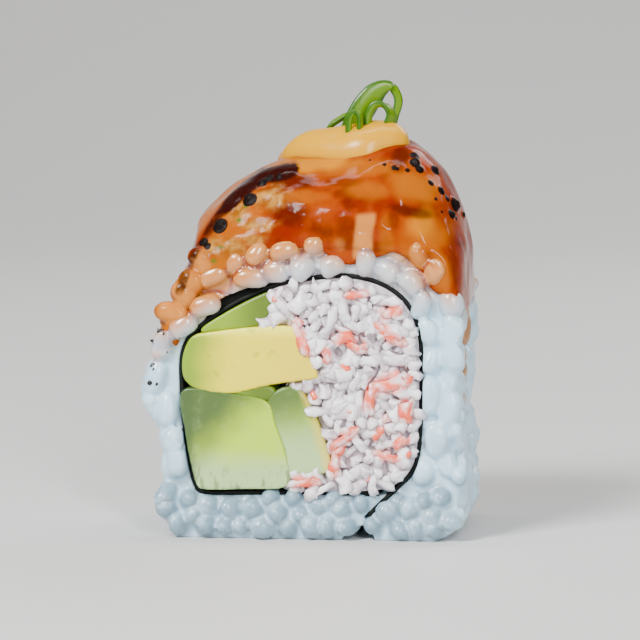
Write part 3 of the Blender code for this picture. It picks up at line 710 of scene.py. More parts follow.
class Graph:
    """A material's node tree round its Principled shader."""

    def __init__(self, name, **constants):
        self.material = bpy.data.materials.new(name)
        self.material.use_nodes = True
        self.tree = self.material.node_tree
        self.shader = self.tree.nodes["Principled BSDF"]
        for key, value in constants.items():
            entry = key.replace("_", " ").title().replace("Ior", "IOR")
            self.shader.inputs[entry].default_value = value

    def node(self, kind, settings, *values, **named):
        """One node of a type, with its settings, then the values or wires of its inputs in order."""
        made = self.tree.nodes.new(kind)
        for key, value in settings.items():
            setattr(made, key, value)
        pairs = [*zip(made.inputs, values), *((made.inputs[k], v) for k, v in named.items())]
        for entry, value in pairs:
            if isinstance(value, Wire):
                self.tree.links.new(value.socket, entry)
            elif value is not None:
                entry.default_value = value
        return made

    def math(self, operation, *values):
        """One step of shader arithmetic."""
        return Wire(self, self.node("ShaderNodeMath", {"operation": operation}, *values).outputs[0])

    def place(self):
        """The place on the object, in metres."""
        return Wire(self, self.node("ShaderNodeTexCoord", {}).outputs["Object"])

    def axes(self):
        """The place on the object as three values in millimetres."""
        parts = self.node("ShaderNodeSeparateXYZ", {}, self.place())
        return [Wire(self, parts.outputs[k]) * (1 / MM) for k in "XYZ"]

    def field(self, name):
        """A number that the mesh keeps for each vertex."""
        made = self.node("ShaderNodeAttribute", {"attribute_name": name})
        return Wire(self, made.outputs["Fac"])

    def cloud(self, cell, detail=2.0, stretch=(1.0, 1.0, 1.0)):
        """Noise of 0 to 1 with cells of about this many millimetres."""
        settings = {"operation": "MULTIPLY"}
        moved = Wire(self, self.node("ShaderNodeVectorMath", settings, self.place(), stretch).outputs[0])
        made = self.node("ShaderNodeTexNoise", {}, moved, Scale=1 / (cell * MM), Detail=detail)
        return Wire(self, made.outputs["Fac"])

    def mix(self, share, first, second):
        """A colour between two, each of them a wire or the name of one of the roll's colours."""
        made = self.node("ShaderNodeMix", {"data_type": "RGBA", "clamp_factor": True})
        for entry, value in ((0, share), (6, first), (7, second)):
            if isinstance(value, Wire):
                self.tree.links.new(value.socket, made.inputs[entry])
            else:
                made.inputs[entry].default_value = colour(value)
        return Wire(self, made.outputs[2])

    def set(self, key, wire):
        """Leads a wire into one input of the Principled shader."""
        self.tree.links.new(wire.socket, self.shader.inputs[key])

    def finish(self, base, height, strength, distance):
        """Sets the colour and a fine relief, its depth in millimetres, and returns the material."""
        made = self.node("ShaderNodeBump", {}, strength, distance * MM, Height=height)
        self.set("Base Color", base)
        self.set("Normal", Wire(self, made.outputs["Normal"]))
        return self.material


def rice_material():
    """Grains with bright rims round a greyer middle, tinted where glaze or sauce has run over them."""
    made = Graph(
        "rice", roughness=0.3, coat_roughness=0.12,
        subsurface_weight=0.55, subsurface_scale=0.0016, subsurface_radius=(1.0, 1.05, 1.1),
    )
    glazed = made.field("glazed")
    rim = made.field("rim")
    shown = made.field("cut") * 0.8 + 0.2
    share = rim * shown + (1.0 - shown) * 0.9 + made.cloud(4.0, 3.0) - 0.5
    base = made.mix(share.ease(0.0, 0.9) * (1.15 - shown * 0.65), "rice_grey", "rice")
    pooled = made.field("gap") * 0.9 + made.cloud(3.4) - 0.5
    tinted = made.mix(pooled.ease(0.1, 0.8), "rice_glazed", "rice_amber")
    base = made.mix(glazed, base, tinted)
    base = made.mix(made.field("sauce"), base, "sauce")
    made.set("Coat Weight", glazed * 0.7 + 0.15)
    return made.finish(base, made.cloud(0.9, 3.0), 0.3, 0.1)


def nori_material():
    """Nearly black, matt and finely rough."""
    made = Graph("nori", roughness=0.6, specular_ior_level=0.15)
    base = made.mix(made.cloud(0.8), "nori", "nori_light")
    return made.finish(base, made.cloud(0.6, 3.0), 0.5, 0.15)


def avocado_material(name, greener):
    """Yellow flesh that turns green towards the skin on its left, or green all through."""
    made = Graph(
        name, roughness=0.42, coat_weight=0.1,
        subsurface_weight=0.35, subsurface_scale=0.0015, subsurface_radius=(1.0, 0.9, 0.35),
    )
    x, _, z = made.axes()
    wander = made.cloud(5.0) * 3.0 - 1.5
    if greener:
        share = (x + wander * 0.6).ease(-11.0, -6.0)
        base = made.mix(share, "avocado_edge", "avocado_dark")
    else:
        share = (x + wander - (z - 24.0) * 0.25).ease(-15.6, -9.2)
        base = made.mix(share, "avocado_edge", "avocado")
        base = made.mix((x + wander).ease(-9.0, 0.0) * 0.5, base, "avocado_tan")
        # painted highlight: paler along the slice's top edge
        base = made.mix(z.ease(26.4, 27.8) * 0.7, base, "avocado_highlight")
        spots = made.cloud(1.8, 1.0).ease(0.66, 0.76)
        base = made.mix(spots * 0.4, base, "avocado_edge")
    return made.finish(base, made.cloud(1.6, 4.0), 0.25, 0.1)


def cucumber_material(name, left):
    """Pale wet flesh, dark near the skin at the top left and watery round the seeds at the foot."""
    made = Graph(
        name, roughness=0.25, specular_ior_level=0.35,
        subsurface_weight=0.35, subsurface_scale=0.0015, subsurface_radius=(0.9, 1.0, 0.5),
    )
    x, _, z = made.axes()
    wander = made.cloud(4.0, 2.0) * 2.4 - 1.2
    fine = made.cloud(0.9, 2.0, (1.0, 0.2, 0.35))
    if left:
        base = made.mix((z + wander).ease(13.0, 8.5), "cucumber", "cucumber_core")
        rind = ((x + wander * 1.6) * -0.55 + z * 0.62).ease(12.4, 17.4)
        base = made.mix(rind * 0.95, base, "cucumber_skin")
        seeds = fine.ease(0.52, 0.66) * (z + wander).ease(10.6, 8.2)
        base = made.mix(seeds * 0.55, base, "cucumber_skin")
        base = made.mix((x + wander * 0.4).ease(-14.2, -15.6) * 0.7, base, "cucumber_skin")
    else:
        base = made.mix((z + wander).ease(17.5, 11.0), "cucumber_pale", "cucumber_core")
        base = made.mix((z + wander - x * 0.5).ease(15.0, 20.5) * 0.8, base, "cucumber_skin")
        edge = (x * 0.95 + z * 0.3 + wander * 0.2).ease(4.6, 5.8)
        base = made.mix(edge * 0.5, base, "avocado_tan")
    watery = made.cloud(1.4, 3.0, (1.0, 0.3, 0.8)).ease(0.5, 0.75)
    base = made.mix(watery * 0.15, base, "cucumber_core")
    return made.finish(base, made.cloud(1.2, 3.0), 0.2, 0.1)


def crab_material(name, pink):
    """Moist white flakes, greyer between them and pink in places, or pink ones."""
    made = Graph(
        name, roughness=0.38, coat_weight=0.2, subsurface_weight=0.45, subsurface_scale=0.0012,
        subsurface_radius=(1.0, 0.8, 0.7) if pink else (1.0, 0.95, 0.9),
    )
    shade = made.cloud(2.2, 3.0).ease(0.4, 0.75)
    if pink:
        base = made.mix(shade, "crab_pink", "crab")
    else:
        # painted shade: grey patches at random over the white flakes
        base = made.mix(shade, "crab", "crab_shade")
        blush = (made.field("pink") + shade * 0.4 - 0.2).ease(0.2, 0.9)
        base = made.mix(blush * 0.8, base, "crab_pink")
        # painted shade: darker the further a place lies behind the cut face
        base = made.mix(made.field("deep") * 0.8, base, "crab_shade")
    return made.finish(base, made.cloud(0.7, 3.0, (1.0, 1.0, 0.4)), 0.4, 0.12)


def topping_material():
    """Glaze over flesh, burnt along its upper rims, with rice showing through where it is thin."""
    made = Graph(
        "seared", specular_ior_level=0.09,
        subsurface_weight=0.05, subsurface_scale=0.0012, subsurface_radius=(1.0, 0.5, 0.1),
    )
    wide = made.cloud(6.0, 3.0)
    fine = made.cloud(1.3, 3.0)
    sear, char, flesh = (made.field(key) for key in ("sear", "char", "flesh"))
    base = made.mix((wide + fine * 0.3).ease(0.45, 0.85), "glaze", "glaze_light")
    bare = made.mix(fine.ease(0.32, 0.72), "flesh_dark", "flesh")
    layers = [
        (made.cloud(4.0, 4.0).ease(0.52, 0.72) * 0.5, "glaze_dark_and_shade"),
        (made.field("amber"), "amber"),
        (made.field("gold"), "gold"),
        # painted shade: darker patches in the folds and under and beside the sauce, over darker glaze
        ((made.field("deep") * 0.9 + wide * 0.6 - 0.3).ease(0.0, 1.1), "glaze_dark_and_shade"),
        (made.field("grain") * (fine * 0.5 + 0.5), "rice_glazed"),
        ((flesh + fine * 0.5 - 0.25).ease(0.15, 0.95), bare),
        # painted reflection: a paler upright patch on the glaze's front
        (made.field("patch") * 0.75, "rice_glazed"),
        (made.field("herb"), "herb"),
        ((sear + fine * 0.7 - 0.35).ease(0.2, 0.75), "sear"),
        (char.ease(0.35, 0.6), "char"),
    ]
    for share, tone in layers:
        base = made.mix(share, base, tone)
    made.set("Roughness", flesh * 0.15 + char * 0.3 + 0.11)
    return made.finish(base, fine * (flesh + sear * 0.6 + 0.2) + made.cloud(3.0), 0.5, 0.22)


def mayo_material():
    """Smooth sauce, with glaze mixed into its foot."""
    made = Graph(
        "mayo", roughness=0.28, specular_ior_level=0.3,
        subsurface_weight=0.4, subsurface_scale=0.0015, subsurface_radius=(1.0, 0.6, 0.25),
    )
    _, _, z = made.axes()
    wander = made.cloud(5.0) * 1.6 - 0.8
    base = made.mix((z + wander).ease(50.4, 48.6), "mayo", "mayo_deep")
    return made.finish(base, made.cloud(2.6, 1.0), 0.15, 0.15)


def scallion_material():
    """Pale green with darker edges and fine fibres along each shred."""
    made = Graph(
        "scallion", roughness=0.3, specular_ior_level=0.3,
        subsurface_weight=0.25, subsurface_scale=0.0008, subsurface_radius=(0.5, 1.0, 0.2),
    )
    edge = made.field("edge")
    fibre = made.cloud(0.5, 2.0, (1.0, 1.0, 0.25))
    base = made.mix((edge + fibre * 0.3).ease(0.55, 1.05), "scallion", "scallion_dark")
    return made.finish(base, fibre, 0.25, 0.08)


def plain_material(name, tone, roughness, coat=0.0):
    """One even colour."""
    return Graph(name, base_color=tone, roughness=roughness, coat_weight=coat).material


# The pieces


def enter(thing, slot, *nodes):
    """Hands a finished piece over, with the solids that it stands for."""
    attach(thing, "root")
    if nodes:
        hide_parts(*nodes)


def nori_loop():
    """The closed line along the middle of the sheet."""
    return smooth_loop(NORI_RING)


def rice_core(inset):
    """The packed rice inside its outermost grains, with a flat underside."""
    core = offset(smooth_loop(RICE_OUTLINE), -inset)
    return [Vector((p.x, 0.0)) if p.y < inset + 0.3 else p for p in core]


def grain_size(draw, share=1.0):
    """The width, thickness and length of the next grain."""
    wide = size("grain_width") * draw.uniform(0.86, 1.1) * share
    thick = wide * draw.uniform(0.82, 0.98)
    return (wide, thick, size("grain_length") * draw.uniform(0.78, 1.12) * share)


def lowest(z, grain):
    """The height of a grain's middle, raised where the grain would reach under the floor."""
    return max(z, grain[0] / 2 + 0.15)


def row_of(draw, loop, spacing):
    """Places at even steps along a closed loop, a little shaken, with the way the loop runs there."""
    row = resample([*loop, loop[0]], int(path_length([*loop, loop[0]]) / spacing) + 1)
    found = []
    for a, b in zip(row, row[1:]):
        shake = Vector((draw.uniform(-0.5, 0.5), draw.uniform(-0.5, 0.5)))
        found.append((a + shake, Vector((b.x - a.x, 0, b.y - a.y)).normalized()))
    return found


def face_grains(draw):
    """Grains that show in both cut faces: rows over the nori and on the floor, tall ones in the walls."""
    ring = nori_loop()
    rim = smooth_loop(RICE_OUTLINE)
    wide = size("grain_width")
    outer = offset(rim, -wide * 0.42)
    tail = smooth_path([*NORI_TAIL, NORI_RING[0]])
    seam = [
        offset(smooth_loop(SEAM_NOTCH, 3), wide * 0.25),
        band_outline([2 * tail[0] - tail[3], *tail], wide * 0.42),
    ]
    shut = [offset(ring, wide * 0.42), offset(smooth_loop(NORI_HOLLOW, 3), wide * 0.3), *seam]
    spots = []
    for side in (-1, 1):
        rows = []
        for step in (0.6, 1.62, 2.6):
            rows += [r for r in row_of(draw, offset(ring, wide * step), wide * 1.25) if r[0].y > NORI_TOP]
        rows += [r for r in row_of(draw, offset(rim, -wide * 0.5), wide * 1.0) if r[0].y < 4.4]
        rows += [r for r in row_of(draw, offset(rim, -wide * 1.45), wide * 1.05) if r[0].y < FOOT_TOP]
        thrown = [Vector((draw.uniform(-21, 21), draw.uniform(1.2, 40))) for _ in range(5000)]
        rows += [(p, Vector((0.2, 0, 1)).normalized()) for p in thrown]
        kept = []
        for p, tangent in rows:
            if inside(outer, p) and not any(inside(loop, p) for loop in shut):
                apart = wide * (1.0 if p.y > FOOT_TOP else 0.9)
                if all((p - other).length > apart for other, _ in kept):
                    kept.append((p, tangent))
        for p, tangent in kept:
            low = p.y < FOOT_TOP
            loose = low or p.y > NORI_TOP + 0.5
            lean = draw.uniform(0.8, 1.4) if low else draw.uniform(-0.5, 0.5)
            proud = draw.uniform(0.0, 0.5)
            y = side * (size("half_depth") - wide / 2 + proud)
            turn = facing_turn((0, side, 0), draw.uniform(-0.5, 0.5), lean, tangent)
            sunk = 0.5 * math.sin(lean) * (size("grain_length") - wide)
            grain = grain_size(draw)
            if low:
                grain = tuple(c * draw.uniform(0.95, 1.2) for c in grain)
                p.y = lowest(p.y, grain)
            elif loose:
                grain = (grain[0] * 1.04, grain[1], grain[2] * draw.uniform(0.78, 1.05))
                y -= side * 0.55 * (p.x > -6 and p.y > height_of(GLAZE_EDGE, p.x) - 0.4)
            spots.append((Vector((p.x, y - side * sunk, p.y)), turn, grain, draw.randrange(3), loose))
        spots += foot_grains(side, [p for p, _ in kept], seam)
    return spots


def foot_grains(side, kept, shut):
    """Grains squeezed in between the others at the foot, up over the sheet's cut edge."""
    draw = random.Random(SEED + 20 + side)
    spots = []
    for _ in range(4000):
        p = Vector((draw.uniform(-18.6, 18.6), draw.uniform(1.3, 5.5)))
        crowded = any((p - other).length < FOOT_SPACING for other in kept)
        if crowded or any(inside(loop, p) for loop in shut):
            continue
        kept.append(p)
        lean = draw.uniform(0.9, 1.4)
        grain = grain_size(draw)
        sunk = 0.5 * math.sin(lean) * (size("grain_length") - size("grain_width"))
        y = side * (size("half_depth") - size("grain_width") / 2 + draw.uniform(0.0, 0.4) - sunk)
        turn = facing_turn((0, side, 0), draw.uniform(-0.5, 0.5), lean, Vector((1.0, 0.0, 0.0)))
        spots.append((Vector((p.x, y, lowest(p.y, grain))), turn, grain, draw.randrange(3), True))
    return spots


def is_coated(spot):
    """Whether a grain lies so high in the cut face that the topping's glaze covers it."""
    place = spot[0]
    return place.z > height_of(GLAZE_EDGE, place.x) + (0.6 if place.x > -6 else -0.4)


def wall_grains(draw):
    """Grains pressed flat into the roll's outside."""
    (_, left_top), (_, right_top) = TOPPING_FEET
    rim = smooth_loop(RICE_OUTLINE)
    wall = resample([*rim, rim[0]], 400)
    deep = size("half_depth") - 1.2
    places_found = []
    for _ in range(7000):
        i = draw.randrange(1, len(wall) - 1)
        p = wall[i]
        if 1.0 < p.y < (left_top if p.x < 0 else right_top) + 1.5:
            y = draw.uniform(-deep, deep)
            places_found.append((Vector((p.x, y, p.y)), outward(wall, i, False)))
    spots = []
    kept = []
    for place, out in places_found:
        if any((place - other).length < size("grain_width") * 1.05 for other in kept):
            continue
        kept.append(place)
        grain = grain_size(draw)
        proud = draw.uniform(-0.25, 0.15) - grain[1] / 2
        angle = draw.uniform(0, math.tau)
        limit = deep + 0.9 - abs(math.cos(angle)) * grain[2] / 2
        spot = place + Vector((out.x, 0, out.y)) * proud
        spot.y = max(-limit, min(limit, spot.y))
        spots.append((spot, facing_turn((out.x, 0, out.y), angle), grain, draw.randrange(3), False))
    return spots


def grain_tree(spots):
    """A search tree of three points along each grain; a point's number, cut by three, is its grain's."""
    tree = kdtree.KDTree(3 * len(spots))
    for i, (place, turn, grain, *_) in enumerate(spots):
        along = Vector((0.0, 0.0, 1.0))
        along.rotate(turn)
        for k in (-1, 0, 1):
            tree.insert(place + along * k * 0.3 * (grain[2] - grain[0]), 3 * i + k + 1)
    tree.balance()
    return tree


def store_rice_fields(thing, tree):
    """Which places lie between grains, and how much glaze and dark sauce has run over each place."""
    x, y, z = places(thing)
    gaps = []
    for p in zip(x, y, z):
        found = tree.find_n(Vector(p), 5)
        others = [distance for _, i, distance in found if i // 3 != found[0][1] // 3]
        gaps.append((others or [9.0])[0] - found[0][2])
    store(thing, "rim", 1 - ease(gaps, 0.0, 0.9))
    store(thing, "gap", 1 - ease(gaps, 0.0, 0.7))
    store(thing, "cut", (1 - ease(z + cloud(x, y, z, 5.0), 6.0, 10.0)) * ease(np.abs(y), 10.5, 12.5))
    wander = cloud(x, y, z, 3.2, 5.0) * (1.3 + 2.4 * ease(np.abs(x), 18.5, 20.0))
    warm = 0.35 * ease(z, 29.0, 33.0)
    store(thing, "glazed", np.maximum(ease(z - height_of(GLAZE_FOOT, x) + wander, -3.0, 2.4), warm))
    streak = 1 - ease(np.abs(y + 4.0 + 0.6 * wander) - 1.6, 0.0, 1.4)
    store(thing, "sauce", 0.9 * ease(x, 18.3, 19.6) * ease(z, 16.0, 20.0) * streak)


def add_rice():
    """The packed rice as one skin, and the grains that show on it."""
    draw = random.Random(SEED)
    material = rice_material()
    shapes = grain_shapes()
    spots = face_grains(draw) + wall_grains(draw)
    spots = [s for s in spots if s[0].z > s[2][1] * 0.45]
    body = prism("rice_look", rice_core(1.5), size("half_depth") - 1.5)
    absorb(body, scatter("rice_fused", shapes, spots, material))
    fuse(body, size("rice_voxel"), 1)
    through = size("half_depth") + 4
    flat = size("half_depth") + 0.05
    knife = prism("knife", offset(smooth_loop(RICE_OUTLINE), 0.5), flat, 1.6)
    cut(body, knife, operation="INTERSECT")
    tail = smooth_path([*NORI_TAIL, NORI_RING[0]])
    tail = [2 * tail[0] - tail[1], *tail]
    room = size("nori_thickness") / 2 + 0.05
    cut(
        body,
        prism("filling_room", offset(nori_loop(), room), through),
        prism("seam_room", band_outline(tail, room), through),
        prism("notch", smooth_loop(SEAM_NOTCH, 3), through),
        prism("fold_room", smooth_loop(NORI_HOLLOW, 3), through),
        prism("under_floor", [Vector(p) for p in ((-30, -9), (30, -9), (30, 0), (-30, 0))], through),
    )
    soften = body.modifiers.new("soften", "SMOOTH")
    soften.factor = 0.4
    soften.iterations = 1
    apply_modifiers(body)
    set_material(body, material)
    tree = grain_tree(spots)
    store_rice_fields(body, tree)
    enter(body, "rice", "rice")
    shown = [s for s in spots if s[4] and not is_coated(s)]
    grains = scatter("rice_grains", shapes, shown, material)
    store_rice_fields(grains, tree)
    enter(grains, "rice")
    discard(*shapes)


def add_nori():
    """The seaweed sheet round the filling, out to the seam in the rice."""
    path = resample(smooth_path([*NORI_TAIL, *NORI_RING]), 220)
    wavy = []
    for i, p in enumerate(path):
        wavy.append(p + outward(path, i, False) * 0.12 * noise.noise(Vector((i * 0.11, 3.0, 0.0))))
    nori = prism("nori_look", band_outline(wavy, size("nori_thickness") / 2), size("half_depth") - 1.5)
    # black nori at the back of the upper-left hollow: painted shade for the dark gap
    absorb(nori, prism("fold", smooth_loop(NORI_HOLLOW, 3), size("half_depth") - 2.5))
    set_material(nori, nori_material())
    enter(nori, "nori", "nori")


def add_filling(name, outline, half_depth, material, slot):
    """One filling run through the slice, with its rims softened."""
    piece = prism(name + "_look", smooth_loop(outline), half_depth)
    fuse(piece, FILLING_VOXEL, 2)
    set_material(piece, material)
    enter(piece, slot, name)


def add_cucumber():
    """Both sticks of cucumber."""
    sticks = [("cucumber_left", CUCUMBER_LEFT, 13.0), ("cucumber_right", CUCUMBER_RIGHT, 12.8)]
    for name, outline, half_depth in sticks:
        material = cucumber_material(name, name == "cucumber_left")
        add_filling(name, outline, half_depth, material, "cucumber")


def add_avocado():
    """The thick slice of avocado, the thin one above it and the sliver below it."""
    green = avocado_material("avocado_green", True)
    add_filling("avocado_slice", AVOCADO_SLICE, 13.0, avocado_material("avocado", False), "avocado")
    add_filling("avocado_upper", AVOCADO_UPPER, 12.4, green, "avocado_green")
    add_filling("avocado_sliver", AVOCADO_SLIVER, 12.8, green, "avocado_green")


def flake_spots(draw, loop, blocked, spacing, proud):
    """Flakes in both cut faces inside an outline, clear of the pieces that it is pressed round."""
    spots = []
    for side in (-1, 1):
        thrown = [Vector((draw.uniform(-8, 15), draw.uniform(6, 35))) for _ in range(6000)]
        thrown = [p for p in thrown if inside(loop, p) and not any(inside(b, p) for b in blocked)]
        for p in spread(thrown, spacing):
            wide = size("flake_width") * draw.uniform(0.75, 1.4)
            long = size("flake_length") * draw.choice((0.55, 0.65, 0.8, 1.1))
            y = side * (size("half_depth") - 0.8 + draw.uniform(*proud))
            out = (draw.uniform(-0.3, 0.3), side, draw.uniform(-0.3, 0.3))
            turn = facing_turn(out, draw.uniform(0, math.tau), draw.uniform(-0.5, 0.5))
            spots.append((Vector((p.x, y, p.y)), turn, (wide, wide * 0.8, long), draw.randrange(4)))
    return spots


def laid_spots(draw, table, proud):
    """The pieces of a table, laid in the front face, and the same ones mirrored in the back face."""
    spots = []
    for side in (-1, 1):
        for x, z, angle, long, wide in table:
            along = Vector((math.cos(math.radians(angle)), 0, math.sin(math.radians(angle))))
            turn = facing_turn((0, side, 0), 0.0, draw.uniform(-0.15, 0.15), along)
            y = side * (size("half_depth") - wide * 0.35 + proud)
            spots.append((Vector((x, y, z)), turn, (wide, wide * 0.7, long), draw.randrange(4)))
    return spots


def add_crab():
    """Torn white and pink crab, pressed round the other fillings."""
    draw = random.Random(SEED + 3)
    loop = smooth_loop(CRAB_OUTLINE)
    others = (AVOCADO_SLICE, AVOCADO_UPPER, CUCUMBER_RIGHT, CUCUMBER_LEFT)
    blocked = [offset(smooth_loop(outline), 0.1) for outline in others]
    shapes = flake_shapes()
    white = crab_material("crab_white", False)
    core = prism("crab_mix_look", loop, size("half_depth") - 1.3)
    cut(core, *[prism("room", b, 20.0) for b in blocked])
    near = flake_spots(draw, offset(loop, -0.5), blocked, 1.15, (-0.4, 0.4))
    absorb(core, scatter("crab_flakes", shapes, near + laid_spots(draw, WHITES, 0.1), white))
    set_material(core, white)
    x, y, z = places(core)
    # painted shade: how far each place lies behind the cut face, for darkening its recesses
    store(core, "deep", ease(size("half_depth") - np.abs(y), 0.0, 1.1))
    blots = [(px, pz, long * 0.62, wide * 0.75, turn, 1.0) for px, pz, turn, long, wide in PINKS]
    store(core, "pink", blot(blots, x, z, cloud(x, y, z, 1.6, 8.0)))
    enter(core, "crab", "crab_mix")
    pink = crab_material("crab_pink", True)
    small = [
        (p, turn, tuple(c * 0.7 for c in wide), kind)
        for p, turn, wide, kind in flake_spots(draw, offset(loop, -0.9), blocked, 4.4, (0.1, 0.35))
    ]
    enter(scatter("crab_pink", shapes, laid_spots(draw, PINKS, 0.45) + small, pink), "crab")
    discard(*shapes)


def topping_rise(v):
    """How much of its full height the topping has at a share v of the way from front to back."""
    return TOPPING_LIP + (1 - TOPPING_LIP) * (1 - abs(2 * v - 1) ** 2.3) ** 0.8


def topping_curves(core, count):
    """Matching points along the rice's top and along the topping's back, from left to right."""
    feet = [Vector(p) for p in TOPPING_FEET]
    ends = [min(range(len(core)), key=lambda i: (core[i] - foot).length) for foot in feet]
    over = core[ends[1] : ends[0] + 1][::-1]
    return resample(over, count), resample(smooth_path(TOPPING_BACK), count)


def topping_point(under, back, v):
    """A point of the topping's skin over one place on the rice, with soft lumps."""
    out = back - under
    y = (2 * v - 1) * (size("half_depth") - 0.4)
    place = under + out * topping_rise(v)
    lump = noise.noise(Vector((place.x, y, place.y)) / TOPPING_LUMP_SIZE)
    place += out.normalized() * lump * TOPPING_LUMP * topping_rise(v)
    return Vector((place.x, y, place.y))


def topping_grid(under, back, last):
    """The skin's points, row by row from left to right, each row from the front to its last point."""
    return [[topping_point(u, b, j / DOME_ALONG) for j in range(last + 1)] for u, b in zip(under, back)]


def relief(x, y, z):
    """How far the topping's skin stands out or in at each place: folds, burnt ridge, rough flesh."""
    found = 0.3 * np.exp(-((distance_to(SEAR_BAND, x, z) / 0.9) ** 2))
    for fold in FOLDS:
        found -= 0.28 * np.exp(-((distance_to(fold, x, z) / 0.8) ** 2))
    rough = sum(np.exp(-(((x - fx) / fw) ** 2) - ((z - fz) / fh) ** 2) for fx, fz, fw, fh in FLESH)
    found += 0.45 * np.clip(rough, 0, 1) * cloud(x, y, z, 1.5, 2.0)
    flow = (x - 15.0) * 0.92 + (z - 38.0) * 0.3
    found += 0.06 * np.sin(flow * 2.4) * ease(x, 11.0, 13.0) * ease(-z, -45.0, -42.0)
    return found + 0.22 * cloud(x, y, z, 3.0, 9.0)


def topping_dome(name, under, back):
    """The topping's skin as a fine grid, closed below inside the rice."""
    deep = offset(under[::-1], -1.2, closed=False)[::-1]
    grid = topping_grid(under, back, DOME_ALONG)
    flat = np.array([[p.x, p.y, p.z] for row in grid for p in row]).T
    lift = relief(*flat).reshape(DOME_ACROSS, DOME_ALONG + 1)

    def fill(shape):
        lines = []
        for i, row in enumerate(grid):
            out = (back[i] - under[i]).normalized()
            line = []
            for j, p in enumerate(row):
                slope = 0.8 * (2 * j / DOME_ALONG - 1) ** 3
                push = Vector((out.x, slope, out.y)).normalized() * lift[i][j]
                line.append(shape.verts.new((p + push) * MM))
            lines.append(line)
        ends = size("half_depth") - 0.4
        base = [[shape.verts.new((p.x * MM, y * MM, p.y * MM)) for y in (-ends, ends)] for p in deep]
        skin(shape, lines, False)
        skin(shape, base, False)
        for side in (0, -1):
            skin(shape, [(line[side], low[side]) for line, low in zip(lines, base)], False)
            shape.faces.new([base[side][0], *lines[side], base[side][1]])

    return new_object(name, fill)


def glaze_film(side):
    """Glaze that has run down over the uppermost grains of one cut face."""
    core = rice_core(0.7)
    draw = random.Random(SEED + side)
    edge = resample(smooth_path(GLAZE_EDGE), 90)
    wander = draw.uniform(0, 9)
    edge = [p + Vector((0.0, 0.5 * noise.noise(Vector((p.x / 1.6, wander, 0.0))))) for p in edge]
    edge = [p for p in edge if inside(core, p)]
    over = [p for p in core if p.y > height_of(GLAZE_EDGE, p.x) + 0.2]
    y = side * (size("half_depth") - 1.5)
    film = prism("film", [*edge, *over], 0.75, 0.3)
    film.data.transform(Matrix.Translation((0, y * MM, 0)))
    return film


def front_place(x, z, grid):
    """The place of the topping's front skin that the front view shows at x and z."""
    return min((p for row in grid for p in row), key=lambda p: (p.x - x) ** 2 + (p.z - z) ** 2)


def blot(table, x, z, wander):
    """Soft-edged tilted patches of a table, each at its own share."""
    found = np.zeros(len(x))
    for px, pz, wide, high, tilt, share in table:
        turn = math.radians(tilt)
        across = (x - px) * math.cos(turn) + (z - pz) * math.sin(turn)
        up = (z - pz) * math.cos(turn) - (x - px) * math.sin(turn)
        reach = np.hypot(across / wide, up / high) + 0.35 * wander
        found = np.maximum(found, share * (1 - ease(reach, 0.45, 1.45)))
    return found


def store_topping_fields(thing, tree, blisters):
    """Where the topping is burnt, folded, bare, thin or blistered."""
    x, y, z = places(thing)
    wander = cloud(x, y, z, 2.4, 4.0)
    front = ease(-y, -3.0, 3.0)
    band = distance_to(SEAR_BAND, x - 0.3 * wander, z)
    top = ease(z, 40.0, 46.0)
    store(thing, "sear", (1 - ease(band, 0.3, 1.1 + 0.6 * top)) * (0.55 + 0.45 * top) * front)
    # painted shade in the folds and under and beside the sauce, with darker glaze
    store(thing, "deep", blot(DARK_GLAZE_AND_SHADE, x, z, wander))
    outer = [(px - 1.6, pz + 1.0) for px, pz in SEAR_BAND]
    left_rim = 1 - ease(distance_to(outer, x, z), 0.5, 1.6)
    store(thing, "amber", np.maximum(blot(AMBERS, x, z, wander), left_rim))
    store(thing, "gold", blot(GOLDS, x, z, wander) * front)
    flesh = np.zeros(len(x))
    for fx, fz, fw, fh in FLESH:
        flesh = np.maximum(flesh, np.exp(-(((x - fx) / fw) ** 2) - ((z - fz) / fh) ** 2))
    store(thing, "flesh", flesh * front)
    # painted reflection: a soft upright patch, on the front face only
    px, pz, pw, ph = REFLECTION_PATCH
    sides = 1 - ease(np.abs(x + 0.2 * wander - px - 0.08 * (z - pz)), pw * 0.75, pw * 1.25)
    store(thing, "patch", sides * (1 - ease(np.abs(z + 0.5 * wander - pz), ph * 0.8, ph * 1.15)) * front)
    herbs = np.zeros(len(x))
    for hx, hz, radius in HERBS:
        herbs = np.maximum(herbs, 1 - ease(np.hypot(x - hx, (z - hz) * 1.6), radius * 0.6, radius * 1.1))
    store(thing, "herb", herbs * front)
    lower = 1 - ease(z - height_of(GLAZE_EDGE, x), 1.5, 4.5)
    near = np.array([tree.find(Vector(p))[2] for p in zip(x, y, z)])
    store(thing, "grain", (1 - ease(near, 1.25, 1.75)) * lower)
    char = np.zeros(len(x))
    for place, radius in blisters:
        gap = np.sqrt((x - place.x) ** 2 + (y - place.y) ** 2 + (z - place.z) ** 2)
        char = np.maximum(char, 1 - ease(gap, radius * 0.8, radius * 1.5))
    store(thing, "char", char)


def flank_grains(draw, under, back):
    """Glazed grains that show through the topping low on its left side."""
    spots = []
    for _ in range(1500):
        i = draw.randrange(1, len(back) - 1)
        v = draw.uniform(0.03, 0.97)
        if back[i].x > 0 or back[i].y > 35.5:
            continue
        place = topping_point(under[i], back[i], v)
        if all((place - other[0]).length > FLANK_SPACING for other in spots):
            flat = back[i] - under[i]
            out = Vector((flat.x, flat.length * 1.2 * (2 * v - 1) ** 3, flat.y)).normalized()
            grain = grain_size(draw, 0.95)
            turn = facing_turn(out, draw.uniform(0, math.tau))
            sunk = out * (grain[1] / 2 - 0.1)
            spots.append((place - sunk, turn, grain, draw.randrange(3), True))
    return spots


